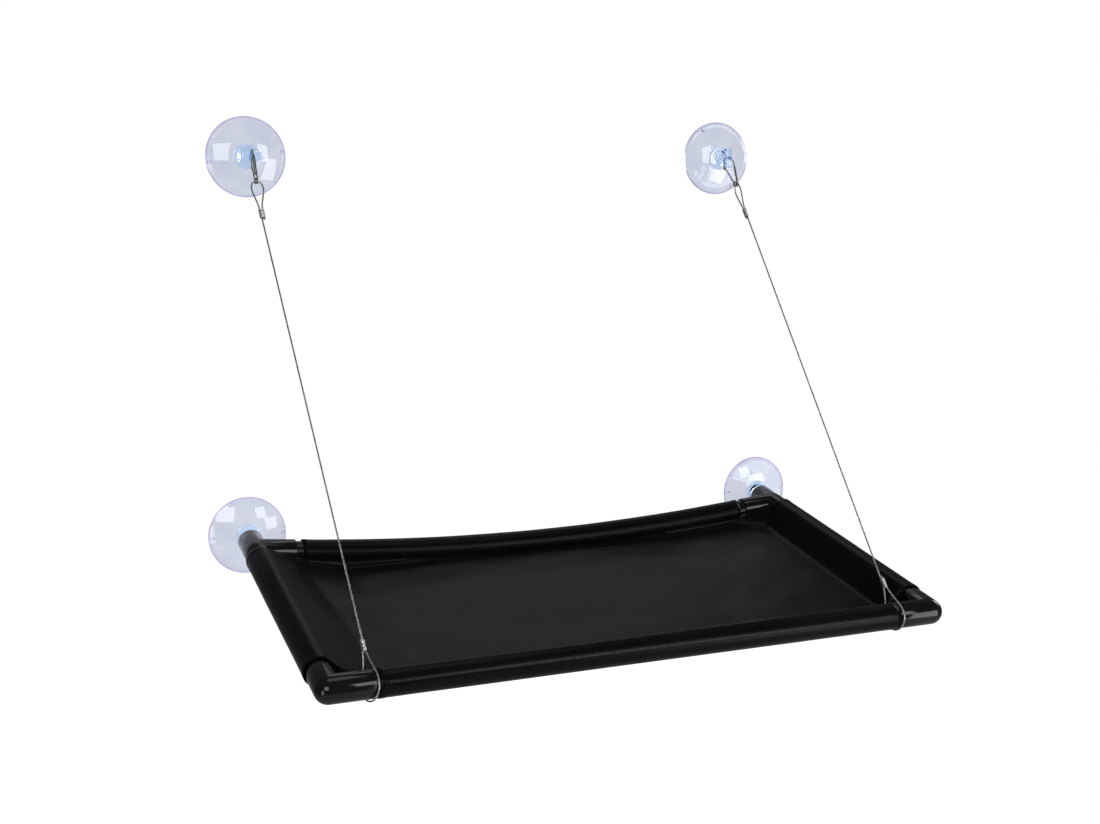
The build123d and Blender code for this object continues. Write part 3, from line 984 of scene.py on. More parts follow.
# %% Sweep the bowed rear pipe
PIPE_WALL = 1.8 * MM
PIPE_GAP = 1.0 * MM
SOCKET_LAP = 6.0 * MM
BOW_MOUTH = half_width - BRANCH_LEG * math.cos(BRANCH_TURN)
BOW_RADIUS = BOW_MOUTH / math.sin(BRANCH_TURN)
BOW_DROP = BRANCH_LEG * math.sin(BRANCH_TURN) + BOW_RADIUS * (1 - math.cos(BRANCH_TURN))
BOW_STEPS = 24


def bow_height(across):
    """How high the rear bar's axis is, at a place along it."""
    across = min(abs(across), BOW_MOUTH)
    return BOW_RADIUS - math.sqrt(BOW_RADIUS**2 - across**2) - BOW_DROP


def rear_pipe():
    """The bowed pipe with its bore, in the plane of the frame."""
    ends = (SOCKET_RADIUS + PIPE_GAP, BRANCH_LEG - SOCKET_LAP)
    line = [branch_point(-1, end) for end in ends]
    for step in range(-BOW_STEPS, BOW_STEPS + 1):
        across = BOW_MOUTH * step / BOW_STEPS
        line.append(Vector((across, -REAR_SETBACK, bow_height(across))))
    line += [branch_point(1, end) for end in reversed(ends)]
    form = bmesh.new()
    bmesh.ops.create_circle(form, segments=RING_SIDES, radius=pipe_radius)
    bmesh.ops.create_circle(form, segments=RING_SIDES, radius=pipe_radius - PIPE_WALL)
    bmesh.ops.bridge_loops(form, edges=form.edges[:])
    upright = Vector((0, 0, 1))
    turns = [upright.rotation_difference(after - before) for before, after in zip(line, line[1:])]
    form.transform(Matrix.Translation(line[0]) @ turns[0].to_matrix().to_4x4())
    ring = form.faces[:]
    for index in range(1, len(line)):
        made = bmesh.ops.extrude_face_region(form, geom=ring, use_keep_orig=index == 1)["geom"]
        ring = [part for part in made if isinstance(part, bmesh.types.BMFace)]
        corners = [part for part in made if isinstance(part, bmesh.types.BMVert)]
        after = turns[min(index, len(turns) - 1)].slerp(turns[index - 1], 0.5)
        before = turns[index - 1] if index == 1 else turns[index - 1].slerp(turns[index - 2], 0.5)
        turn = (after @ before.inverted()).to_matrix().to_4x4()
        move = Matrix.Translation(line[index]) @ turn @ Matrix.Translation(-line[index - 1])
        bmesh.ops.transform(form, matrix=move, verts=corners)
    return form


pipe = finish_mesh("rear_bowed_pipe", rear_pipe(), pipe_plastic, on_slope)
stand_for(pipe, "perch_frame", "black_pipe", "rear_pipe")
print(f"bow of the rear pipe: {BOW_DROP * 1000:.1f} mm")

# %% [markdown]
# ## The black cloth
# The seat is one sheet of coated cloth. Each of its edges is folded round a bar and sewn down to
# make a sleeve, and the middle hangs as a shallow tray. The coating makes it smooth and slightly
# shiny, and it shines unevenly where it has been creased. The weave still shows through from
# close by, so the material has a fine plain weave, which follows the sheet's own flat map.

# %% Coated cloth
WEAVE_RELIEF = 0.03 * MM
WRINKLE_RELIEF = 0.5 * MM


def coated_cloth():
    """Black cloth with a soft coating: fine weave, cloudy shine."""
    material, tree, shader = new_material("coated_cloth")
    flat = point_on(tree, "UV")
    clouds = noise_of(tree, flat, 9.0, 5.0, 0.55)
    dark, pale = (0.0022, 0.0020, 0.0024), (0.0042, 0.0038, 0.0045)
    threads = {"Scale": 560.0, "Distortion": 0.4, "Vector": flat}
    waves = [add_node(tree, "TexWave", "Fac", bands_direction=way, **threads) for way in "XY"]
    wrinkles = bump(tree, noise_of(tree, flat, 45.0, 4.0), WRINKLE_RELIEF, 0.35)
    weave = math_of(tree, "MULTIPLY", *waves)
    feed(
        shader,
        Base_Color=ramp_of(tree, clouds, (0.35, dark), (0.7, pale)),
        Roughness=range_of(tree, clouds, 0.22, 0.34),
        Normal=bump(tree, weave, WEAVE_RELIEF, 0.5, Normal=wrinkles),
        Specular_IOR_Level=0.06,
        Sheen_Weight=0.008,
        Sheen_Roughness=0.5,
    )
    return material


seat_cloth = coated_cloth()

# %% [markdown]
# The tray's shape comes from its sizes. At the left the cloth leaves the top of the side bar,
# slopes down as a wall to a first crease, goes more gently to a second one, and then is a nearly
# flat floor. At the right the wall is steeper and the crease nearer to the bar. There is a short
# wall at the front bar, and almost none at the rear bar, because that bar bows down to the floor,
# which rises a little toward it. At the corners the free edges are pulled straight between the
# sleeves. The highest of these surfaces at each place is the cloth. Smoothing its grid rounds the
# creases.

# %% How deep the tray hangs
SIDE_ROLL = 12.4 * MM
END_ROLL = 11.35 * MM
WALL_SLOPE = math.radians(33.0)
SIDE_LEAVE = math.pi / 2 - WALL_SLOPE
STEEP_LEAVE = math.radians(34.0)
END_LEAVE = math.radians(-20.0)
SIDE_EDGE = half_width - SIDE_ROLL * math.cos(SIDE_LEAVE)
REAR_EDGE = REAR_SETBACK + END_ROLL * math.cos(END_LEAVE)
FRONT_EDGE = reach - END_ROLL * math.cos(END_LEAVE)
SIDE_HEM_DEPTH = -SIDE_ROLL * math.sin(SIDE_LEAVE)
END_HEM_DEPTH = -END_ROLL * math.sin(END_LEAVE)
CREASES = {-1: (242.0 * MM, 10.5 * MM, 11.0 * MM), 1: (259.0 * MM, 0.0, 12.4 * MM)}
CREASE_RUN = 146.0 * MM
CREASE_DROP = 1.2 * MM
FLOOR_EDGES = {-1: 192.0 * MM, 1: 130.0 * MM}
FLOOR_DEPTH = 22.85 * MM
FLOOR_SAG = 0.95 * MM
FRONT_RUN = 14.0 * MM
REAR_STEEPNESS = 3.0
REAR_CURVE = 45.0 * MM
REAR_LIFT = 2.6 * MM
CORNER_STEEPNESS = 0.9
FRONT_SLEEVE_HALF = 242.7 * MM
REAR_SLEEVE_HALF = 236.0 * MM
SEAM_INSET = 5.0 * MM
SIDE_SLEEVE_START = 50.0 * MM
SIDE_SLEEVE_END = 282.3 * MM
FRONT_INNER = FRONT_SLEEVE_HALF - SEAM_INSET
FRONT_START = 300.3 * MM
FRONT_HOLD = 5.5 * MM
REAR_HOLD = END_HEM_DEPTH - bow_height(REAR_SLEEVE_HALF)


def first_crease(side, out):
    """Where a side wall ends, at a place along it, and how deep it is there."""
    share = min(max((out - SIDE_SLEEVE_START) / CREASE_RUN, 0.0), 1.0)
    across, shift, depth = CREASES[side]
    return across - shift * share, depth + CREASE_DROP * share


def wall_start(side):
    """Where a side wall leaves the roll round its bar: how far across, and how deep."""
    angle = SIDE_LEAVE if side < 0 else STEEP_LEAVE
    return half_width - SIDE_ROLL * math.cos(angle), -SIDE_ROLL * math.sin(angle)


def corner_share(across, inner):
    """How far a place is along a free corner edge, from its inner end to the side bar."""
    return (abs(across) - inner) / (SIDE_EDGE - inner)


def front_line(across, start=FRONT_START, end=SIDE_SLEEVE_END):
    """How far out the free edge of a front corner runs, or what else changes along it."""
    return start + (end - start) * corner_share(across, FRONT_INNER)


def rear_line(across, start=REAR_EDGE, end=SIDE_SLEEVE_START):
    """How far out the free edge of a rear corner runs, or what else changes along it."""
    return start + (end - start) * corner_share(across, REAR_SLEEVE_HALF)


def tray_depth(across, out):
    """How far the cloth hangs below the frame's plane at a place."""
    side = -1 if across < 0 else 1
    across = abs(across)
    start, start_depth = wall_start(side)
    crease, crease_depth = first_crease(side, out)
    wall = (crease_depth - start_depth) / (start - crease)
    side_wall = start_depth + (start - across) * wall
    if across > start:
        side_wall = -math.sqrt(SIDE_ROLL**2 - (half_width - across) ** 2)
    floor_edge = FLOOR_EDGES[side]
    slope = (FLOOR_DEPTH - crease_depth) / (crease - floor_edge)
    shoulder = crease_depth + (crease - across) * slope
    floor = FLOOR_DEPTH + FLOOR_SAG * (1 - (across / floor_edge) ** 2)
    floor -= REAR_LIFT * max(1 - (out - REAR_EDGE) / REAR_CURVE, 0.0) ** 2
    front_wall = (FLOOR_DEPTH + FLOOR_SAG - END_HEM_DEPTH) / FRONT_RUN
    front = END_HEM_DEPTH + (FRONT_EDGE - out) * front_wall
    rear = END_HEM_DEPTH - bow_height(across) + (out - REAR_EDGE) * REAR_STEEPNESS
    rear_corner = rear_line(across, REAR_HOLD, SIDE_HEM_DEPTH)
    rear_corner += (out - rear_line(across)) * CORNER_STEEPNESS
    front_corner = front_line(across, FRONT_HOLD, SIDE_HEM_DEPTH)
    front_corner += (front_line(across) - out) * CORNER_STEEPNESS
    return min(side_wall, shoulder, floor, front, rear, rear_corner, front_corner)


print(f"tray depth in the middle {tray_depth(0, reach / 2) * 1000:.1f} mm")

# %% [markdown]
# The sheet starts as a flat grid. Its corners are cut away where the fittings are. Then each
# straight edge is spun round its own bar to make a sleeve, which is just what the sewing does. The
# front sleeve runs a little past the tray's corners. Only then does the tray drop to its depth, and
# the rear sleeve follow the bow of its bar.

# %% Cut the sheet
CELLS_ACROSS = 172
CELLS_OUT = 84
CUT_MARGIN = 6.0 * MM
CUT_SNAP = 0.3 * MM


def cut_corner(form, sign, inner, start, end, line, toward):
    """Cuts one corner away, along the line of its free edge."""

    def near(spot):
        return sign * spot.x > inner - CUT_MARGIN and -spot.y * toward > end * toward - CUT_MARGIN

    def gone(spot):
        return sign * spot.x > inner and -spot.y * toward > line(spot.x) * toward

    slant = Vector((start - end, sign * (inner - SIDE_EDGE), 0)).normalized()
    for spot, normal in (((sign * inner, 0, 0), (1, 0, 0)), ((sign * inner, -start, 0), slant)):
        faces = [face for face in form.faces if near(face.calc_center_median())]
        parts = {part for face in faces for part in (*face.edges, *face.verts)}
        bmesh.ops.bisect_plane(
            form, geom=faces + list(parts), plane_co=spot, plane_no=normal, dist=CUT_SNAP
        )
    beyond = [face for face in form.faces if gone(face.calc_center_median())]
    bmesh.ops.delete(form, geom=beyond, context="FACES")


def flat_sheet():
    """The tray's flat grid with its four corners cut away."""
    form = bmesh.new()
    bmesh.ops.create_grid(form, x_segments=CELLS_ACROSS, y_segments=CELLS_OUT, size=0.5)
    size = (SIDE_EDGE * 2, FRONT_EDGE - REAR_EDGE, 1)
    bmesh.ops.scale(form, vec=size, verts=form.verts)
    middle = (0, -(FRONT_EDGE + REAR_EDGE) / 2, 0)
    bmesh.ops.translate(form, vec=middle, verts=form.verts)
    for sign in (-1, 1):
        cut_corner(form, sign, FRONT_INNER, FRONT_START, SIDE_SLEEVE_END, front_line, 1)
        cut_corner(form, sign, REAR_SLEEVE_HALF, REAR_EDGE, SIDE_SLEEVE_START, rear_line, -1)
    return form


# %% Roll the four sleeves
ROLL_STEPS = 26
TINY = 0.02 * MM
EDGE_SLACK = 0.1 * MM
UP = Vector((0, 0, 1))
BARS = {
    "front": (Vector((0, -reach, 0)), Vector((0, 1, 0))),
    "rear": (Vector((0, -REAR_SETBACK, 0)), Vector((0, -1, 0))),
    "left": (Vector((-half_width, 0, 0)), Vector((1, 0, 0))),
    "right": (Vector((half_width, 0, 0)), Vector((-1, 0, 0))),
}
ENDS = ("front", "rear")


def sleeve(name):
    """A sleeve's radius, the angle where the tray leaves it, and how far it goes round."""
    if name in ENDS:
        return END_ROLL, END_LEAVE, math.radians(338.0)
    return SIDE_ROLL, SIDE_LEAVE, math.radians(245.6)


def beside(name, spot, inset=0.0):
    """The place at a distance inside a bar's axis that is beside another place."""
    centre, inward = BARS[name]
    place = spot + inward * (inset - (spot - centre).dot(inward))
    return Vector((place.x, place.y, 0))


def at_edge(name, spot, inset=0.0):
    """The place beside another at a tray's edge, or at a distance inside that edge."""
    radius, leave, _ = sleeve(name)
    return beside(name, spot, radius * math.cos(leave) + inset)


def roll_edge(form, name):
    """Spins one edge of the tray round its bar: returns the new corners and the last edges."""
    radius, leave, turn = sleeve(name)
    centre, inward = BARS[name]

    def on_edge(corner):
        return (corner.co.xy - at_edge(name, corner.co).xy).length < TINY

    edges = [edge for edge in form.edges if edge.is_boundary and all(map(on_edge, edge.verts))]
    corners = {corner for edge in edges for corner in edge.verts}
    for corner in corners:
        corner.co.z = radius * math.sin(leave)
    before = set(form.verts)
    last = bmesh.ops.spin(
        form, geom=list(corners) + edges, cent=centre, axis=inward.cross(UP), angle=turn,
        steps=ROLL_STEPS, use_merge=False,
    )["geom_last"]
    ends = [part for part in last if isinstance(part, bmesh.types.BMEdge)]
    return [corner for corner in form.verts if corner not in before], ends


def lengthen_front(form, corners):
    """Pulls both ends of the front sleeve out past the tray's corners."""
    rolled = set(corners)
    for sign in (-1, 1):
        edges = [
            edge
            for edge in form.edges
            if edge.is_boundary
            and all(v in rolled or abs(v.co.z) > 0 for v in edge.verts)
            and any(v in rolled for v in edge.verts)
            and all(sign * v.co.x > FRONT_INNER - EDGE_SLACK for v in edge.verts)
        ]
        _, fresh = extruded(form, edges)
        bmesh.ops.translate(form, vec=(sign * SEAM_INSET, 0, 0), verts=fresh)
        corners += fresh


sheet = flat_sheet()
tray = set(sheet.verts)
rolls = {}
hem_ends = {}
for name in BARS:
    rolls[name], hem_ends[name] = roll_edge(sheet, name)
    last = hem_ends[name][0].verts[0].co
    print(f"{name} roll: {len(rolls[name])} corners, ends at {last.z * 1000:.1f} mm")
lengthen_front(sheet, rolls["front"])

# %% [markdown]
# Before the sheet takes its shape, each corner notes where it lies on the flat cloth. That is the
# sheet's UV map, in metres, and the weave follows it round the sleeves. Then the tray drops, its
# creases are smoothed, and soft noise gives it the slight waves of a cloth that was folded in a
# box. The hem of each sleeve goes on past the seam, under the tray.

# %% Note the flat map
flat_map = {corner: (corner.co.x, -corner.co.y) for corner in tray}


def roll_angle(name, spot):
    """How far round its bar a corner is, from the inner side upward."""
    centre, inward = BARS[name]
    angle = math.atan2(spot.z, (spot - centre).dot(inward))
    return angle if angle > sleeve(name)[1] - 0.01 else angle + math.tau


for name, corners in rolls.items():
    radius, leave, _ = sleeve(name)
    for corner in corners:
        flat = at_edge(name, corner.co, (leave - roll_angle(name, corner.co)) * radius)
        flat_map[corner] = (flat.x, -flat.y)

# %% Drop and smooth the tray
SIDE_NEARNESS = 0.7
HELD_EDGE = 1.0 * MM
CALM_EDGE = 6.0 * MM
FULL_WAVES = 36.0 * MM
WAVES = ((13.0, 1.4, 0.3, 1.3 * MM), (38.0, 1.0, 4.0, 0.35 * MM))


def edge_distance(spot):
    """How far inside the tray's outline a place is."""
    across = (SIDE_EDGE - abs(spot.x)) * SIDE_NEARNESS
    out = min(FRONT_EDGE + spot.y, -REAR_EDGE - spot.y)
    corner = min(front_line(spot.x) + spot.y, -spot.y - rear_line(spot.x))
    return max(min(across, out, corner), 0.0)


for corner in tray:
    corner.co.z = -tray_depth(corner.co.x, -corner.co.y)
inner = [v for v in tray if not v.is_boundary and edge_distance(v.co) > HELD_EDGE]
bmesh.ops.smooth_vert(sheet, verts=inner, factor=0.5, use_axis_z=True)
for corner in tray:
    spot = corner.co
    fade = smooth_step(edge_distance(spot), CALM_EDGE, FULL_WAVES)
    for fineness, stretch, level, height in WAVES:
        place = Vector((spot.x, spot.y * stretch, level)) * fineness
        corner.co.z += noise.noise(place) * height * fade

# %% Bow the rear sleeve, and give the sleeves their seams and slack
BAND = (math.radians(140), math.radians(168))
BAND_RISE = 0.3
END_HEM = 5.0 * MM
END_HEM_RISE = 0.25
SLACK = 0.28


def end_distance(name, spot):
    """How far a corner is from the open end of its sleeve."""
    if name in ENDS:
        return (FRONT_SLEEVE_HALF if name == "front" else REAR_SLEEVE_HALF) - abs(spot.x)
    return min(-spot.y - SIDE_SLEEVE_START, SIDE_SLEEVE_END + spot.y)


for name, corners in rolls.items():
    for corner in corners:
        axis_spot = beside(name, corner.co)
        away = corner.co - axis_spot
        rise = SLACK * (1 + noise.noise(corner.co * 26.0)) * 0.5
        if name == "front" and BAND[0] < roll_angle(name, corner.co) < BAND[1]:
            rise += BAND_RISE
        if end_distance(name, corner.co) < END_HEM:
            rise += END_HEM_RISE
        corner.co = axis_spot + away * (1 + rise * MM / away.length)
for corner in rolls["rear"]:
    corner.co.z += bow_height(corner.co.x)

# %% Fold the hems under the tray
END_HEMS = (1.5 * MM, 5.0 * MM, 8.5 * MM)
SIDE_HEMS = (16.2 * MM, 19.2 * MM, 22.2 * MM)
HEM_GAP = 1.3 * MM
HEM_WEAVE = 1.4

for name, edges in hem_ends.items():
    gap = HEM_GAP if name in ENDS else HEM_GAP / math.cos(WALL_SLOPE)
    for inset in END_HEMS if name in ENDS else SIDE_HEMS:
        edges, corners = extruded(sheet, edges)
        for corner in corners:
            corner.co = at_edge(name, corner.co, inset)
            corner.co.z = -tray_depth(corner.co.x, -corner.co.y) - gap
            flat_map[corner] = (corner.co.x * HEM_WEAVE, -corner.co.y * HEM_WEAVE)

# %% [markdown]
# The free edges at the two front corners are turned down and under, which keeps the cloth from
# fraying there. The turned edge hides the gap between the cloth and the elbow.

# %% Turn the front corners' edges down
TURN_DOWN = ((0.9, 2.2), (0.8, 3.0), (-0.6, 2.6))


def at_front_corner(corner):
    """Whether a corner of the tray is on the free edge beside an elbow."""
    across, out = abs(corner.co.x), -corner.co.y
    return corner in tray and across > FRONT_INNER - TINY and out > SIDE_SLEEVE_END - TINY


edges = [edge for edge in sheet.edges if edge.is_boundary and all(map(at_front_corner, edge.verts))]
for out, down in TURN_DOWN:
    edges, corners = extruded(sheet, edges)
    for corner in corners:
        share = min(max(corner_share(corner.co.x, FRONT_INNER), 0.0), 1.0)
        room = smooth_step(1 - share, 0.0, 0.35) * MM
        flat_map[corner] = (corner.co.x, -corner.co.y + down * MM)
        corner.co += Vector((math.copysign(out * 0.5, corner.co.x), -out, -down)) * room
print(len(edges), "edges turned down")

# %% Finish the sheet
CLOTH_THICKNESS = 1.1 * MM

map_layer = sheet.loops.layers.uv.new("flat")
for face in sheet.faces:
    for loop in face.loops:
        loop[map_layer].uv = flat_map[loop.vert]
cloth_area = sum(face.calc_area() for face in sheet.faces)
half_way = -(FRONT_EDGE + REAR_EDGE) / 2


def length_along(row):
    """How long the sheet is along a row of its grid, sleeves and hems included."""
    return sum(edge.calc_length() for edge in sheet.edges if all(row(v.co) for v in edge.verts))


flat_width = length_along(lambda spot: abs(spot.y - half_way) < TINY)
flat_depth = length_along(lambda spot: abs(spot.x) < TINY)
print(f"flat size {flat_width:.3f} by {flat_depth:.3f} m")
cloth = finish_mesh("seat_cloth", sheet, seat_cloth, on_slope, sharp=60)
modify(cloth, "SOLIDIFY", thickness=CLOTH_THICKNESS, offset=0)
sleeves = [f"{name}_sleeve" for name in BARS]
stand_for(cloth, "perch_frame", "coated_cloth", "seat_panel", *sleeves)
print(f"cloth: {cloth_area:.4f} square metres, {len(cloth.data.polygons)} faces")

# %% [markdown]
# ## Stitches
# The seams are what tells a sewn sheet from a moulded one. Each stitch is a short raised thread.
# The front sleeve has a close row of upright overlock stitches, and plain rows of longer ones hold
# the hems. A ray is sent at the finished cloth to find where each stitch lies and which way is
# out, so that every one sits on the surface.

# %% Thread
def thread(name, grey):
    """Waxed thread, a little glossy."""
    material, tree, shader = new_material(name)
    fuzz = noise_of(tree, point_on(tree), 1200.0, 2.0)
    grey = ramp_of(tree, fuzz, (0.3, (grey * 0.6,) * 3), (0.7, (grey,) * 3))
    feed(shader, Base_Color=grey, Roughness=0.45)
    return material


pale_thread = thread("pale_thread", 0.075)
dark_thread = thread("dark_thread", 0.02)

# %% Sew
THREAD_HALF = 0.24 * MM
STITCH_HEIGHT = 0.22 * MM
STITCH_LIFT = 0.05 * MM
RAY_REACH = 30.0 * MM
OVERLOCK = (1.7 * MM, 2.9 * MM)
OVERLOCK_ANGLE = math.radians(153)
OVERLOCK_MARGIN = 9.0 * MM
HEM = (3.4 * MM, 2.5 * MM)
HEM_INSETS = (5.5 * MM, 19.0 * MM)
HEM_MARGINS = (4.0 * MM, 3.0 * MM)
BAR_AWAY = 22.0 * MM
TRAY_AWAY = 12.0 * MM


def sew(name, material, rays, length, upright=False):
    """Lays a stitch where each ray meets the cloth; upright ones lie across the row."""
    form = bmesh.new()
    count = 0
    for spot, toward, along in rays:
        hit, place, normal, _ = cloth.ray_cast(spot, toward)
        if not hit or (place - spot).length > RAY_REACH:
            continue
        if normal.dot(toward) > 0:
            normal.negate()
        side = normal.cross(along).normalized()
        run, width = (side, along) if upright else (along, side)
        turn = Matrix((run, width, normal)).transposed().to_4x4()
        size = Matrix.Diagonal((length / 2, THREAD_HALF, STITCH_HEIGHT, 1))
        matrix = Matrix.Translation(place + normal * STITCH_LIFT) @ turn @ size
        bmesh.ops.create_icosphere(form, subdivisions=1, radius=1, matrix=matrix)
        count += 1
    piece = finish_mesh(name, form, material, sharp=80)
    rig.ride(piece, "perch_frame")
    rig.slot(piece, "coated_cloth")
    print(f"{name}: {count} stitches")
    return piece


def row_of_rays(start, end, spacing, toward):
    """Rays that start in an even row between two places in the plane of the frame."""
    turn = on_slope.to_3x3()
    toward, along = ((turn @ way).normalized() for way in (toward, end - start))
    count = int((end - start).length / spacing)
    places = [start.lerp(end, index / (count - 1)) for index in range(count)]
    return [(on_slope @ place, toward, along) for place in places]


def hem_row(name):
    """Rays down at the tray, in a row beside one of its edges."""
    at_side = name not in ENDS
    margin = HEM_MARGINS[at_side]
    tips = (margin - REAR_SLEEVE_HALF, 0, 0), (REAR_SLEEVE_HALF - margin, 0, 0)
    if at_side:
        tips = (0, -SIDE_SLEEVE_START - margin, 0), (0, margin - SIDE_SLEEVE_END, 0)
    start, end = (at_edge(name, Vector(tip), HEM_INSETS[at_side]) + UP * TRAY_AWAY for tip in tips)
    return row_of_rays(start, end, HEM[0], -UP)


bpy.context.view_layer.update()
away = Vector((0, math.cos(OVERLOCK_ANGLE), math.sin(OVERLOCK_ANGLE)))
tip = Vector((FRONT_SLEEVE_HALF - OVERLOCK_MARGIN, 0, 0))
start, end = (BARS["front"][0] + away * BAR_AWAY + side for side in (-tip, tip))
seam_rays = row_of_rays(start, end, OVERLOCK[0], -away)
overlock = sew("front_overlock", pale_thread, seam_rays, OVERLOCK[1], upright=True)
hem_rays = [ray for name in BARS for ray in hem_row(name)]
hem_stitches = sew("hem_stitches", dark_thread, hem_rays, HEM[1])
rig.sheet(
    cloth, flat=(0.725, 0.435), held="stretched",
    rests_on=["front_pipe", "rear_bowed_pipe", "left_pipe", "right_pipe"],
    area=0.268, with_pieces=[overlock, hem_stitches],
)

# %% [markdown]
# ## Ferrules
# A ferrule is a short oval sleeve of soft aluminium. Both strands of a loop go through it, and a
# tool crimps it flat in two places. It's pulled out of a circle that has been drawn apart into
# an oval, ring by ring. The ends are set back, so that the ropes come out of a mouth.

# %% Crimp the ferrules
FERRULE_RADIUS = 1.68 * MM
FERRULE_SIDES = 40
ROPE_SPACING = 1.9 * MM
CRIMP_NARROWING = 0.35
MOUTH_WALL = 0.42 * MM
MOUTH_SLOPE = 0.05 * MM
MOUTH_DEPTH = 0.7 * MM
CRIMP_RINGS = (
    (0.0, 0.86), (0.15, 0.95), (0.45, 1.0), (2.0, 1.0), (2.5, 0.87), (3.6, 0.87), (4.1, 1.0),
    (4.7, 1.0), (5.2, 0.87), (6.3, 0.87), (6.8, 1.0), (8.35, 1.0), (8.65, 0.95), (8.8, 0.86),
)


def ferrule_form():
    """A crimped oval sleeve along Z, with its strands side by side along X."""
    form = bmesh.new()
    turn = Matrix.Rotation(math.pi / FERRULE_SIDES, 4, "Z")
    bmesh.ops.create_circle(form, segments=FERRULE_SIDES, radius=FERRULE_RADIUS, matrix=turn)
    for corner in form.verts:
        corner.co.x += math.copysign(ROPE_SPACING / 2, corner.co.x)
    ring = form.edges[:]
    rings = [form.verts[:]]
    for height, _ in CRIMP_RINGS[1:]:
        ring, corners = extruded(form, ring)
        bmesh.ops.translate(form, vec=(0, 0, height * MM - rings[-1][0].co.z), verts=corners)
        rings.append(corners)
    for corners, (_, share) in zip(rings, CRIMP_RINGS):
        narrow = (1 - (1 - share) * CRIMP_NARROWING, share, 1)
        bmesh.ops.scale(form, vec=narrow, verts=corners)
    ends = bmesh.ops.holes_fill(form, edges=form.edges, sides=0)["faces"]
    bmesh.ops.inset_individual(form, faces=ends, thickness=MOUTH_WALL, depth=0)
    bmesh.ops.recalc_face_normals(form, faces=form.faces)
    bmesh.ops.inset_individual(form, faces=ends, thickness=MOUTH_SLOPE, depth=-MOUTH_DEPTH)
    return form


def ferrule_piece(name, route, body):
    """A ferrule on the first straight part of a rope's route."""
    first, second, *_, last, _ = in_metres(route)
    along = (second - first).normalized()
    across = (last - second).normalized()
    across = (across - along * across.dot(along)).normalized()
    axes = Matrix((across, along.cross(across), along)).transposed().to_4x4()
    place = Matrix.Translation(first + (last - second) / 2) @ axes
    piece = finish_mesh(f"{name}_crimp", ferrule_form(), ferrule_metal, place)
    stand_for(piece, body, "ferrule_metal", name)


for side, _ in SIDES:
    ferrule_piece(f"{side}_upper_ferrule", EYE_ROUTES[side], f"{side}_snap")
    ferrule_piece(f"{side}_lower_ferrule", LOOP_ROUTES[side], "perch_frame")
print("four ferrules crimped")

# %% [markdown]
# ## Spring snaps
# Each snap is one bent spring wire: a bow that hangs in the tongue's hole, a long spine, a coil
# that holds the rope's eye, and a sprung leg that springs against the catch beside the bow. The
# leg moves, so hook and gate are two pieces. Wires are made as curves with a round bevel: the
# bends are smooth lines through a few points, and each turn of the coil is an arc. The sizes below
# are in millimetres, and a snap's plane has X across the bow and Y along the pull.

# %% Bend the hooks
SNAP_WIRE = 0.65 * MM
SNAP_LENGTH = 27.5
BOW = 5.75
BOW_PARTS = 32
COIL = 2.35
COIL_SPACING = 0.8
COIL_TURNS = 1.02
COIL_PARTS = 33
PULLS = {"left": Vector((0, -0.58162, -0.81346)), "right": Vector((0, -0.57995, -0.81465))}


def snap_place(side):
    """Where a snap's own plane lies: X across the bow, Y along the pull."""
    joint = joints[f"{side}_gate_flex"]
    normal = Vector(joint["axis"]).normalized()
    pull = PULLS[side]
    axes = Matrix((pull.cross(normal).normalized(), pull, normal)).transposed().to_4x4()
    return Matrix.Translation(Vector(joint["pos_m"]) - pull * SNAP_LENGTH * MM) @ axes


def turn_of_coil(start, level):
    """Points on one turn of the coil."""
    angles = [start + math.tau * COIL_TURNS * part / COIL_PARTS for part in range(COIL_PARTS + 1)]
    middle = Vector((0, SNAP_LENGTH, level))
    return [middle + Vector((math.cos(angle), math.sin(angle), 0)) * COIL for angle in angles]


def wire_piece(name, lines, balls, side):
    """Round wires along lines in a snap's plane, with small balls at their ends."""
    form = wire_form([[point * MM for point in line] for line in lines], SNAP_WIRE, 4)
    for spot, radius in balls:
        bmesh.ops.create_uvsphere(
            form, u_segments=16, v_segments=10, radius=radius * MM,
            matrix=Matrix.Translation(Vector(spot) * MM),
        )
    return finish_mesh(name, form, spring_metal, snap_place(side), sharp=60)


CATCH = ((-7.75, 9.0, 0), (-7.75, 6.0, 0), (-7.7, 4.6, 0), (-5.9, 3.4, 0), (-5.75, 1.2, 0))
SPINE = (
    (5.75, 0, 0), (5.6, 1.5, 0), (5.2, 4.6, 0.7), (4.6, 9.0, 0.78), (2.5, 26.2, 0.8),
    (2.35, 27.3, 0.8),
)
SECOND_STRAND = (
    (5.35, 3.2, -0.25), (5.15, 4.8, -0.72), (4.6, 9.0, -0.76), (3.3, 19.6, -0.76),
    (2.95, 22.9, -0.7),
)
bow_angles = [math.pi + math.pi * part / BOW_PARTS for part in range(1, BOW_PARTS)]
hook = smooth_line(CATCH)
hook += [Vector((BOW * math.cos(angle), BOW * math.sin(angle), 0)) for angle in bow_angles]
hook += smooth_line(SPINE) + turn_of_coil(0.05, COIL_SPACING)
HOOK_BALLS = ((CATCH[0], 1.0), (SECOND_STRAND[0], 0.66), (SECOND_STRAND[-1], 0.66))
for side, _ in SIDES:
    lines = [hook, smooth_line(SECOND_STRAND)]
    piece = wire_piece(f"{side}_hook_wire", lines, HOOK_BALLS, side)
    stand_for(piece, f"{side}_snap", "spring_wire", f"{side}_snap_hook")

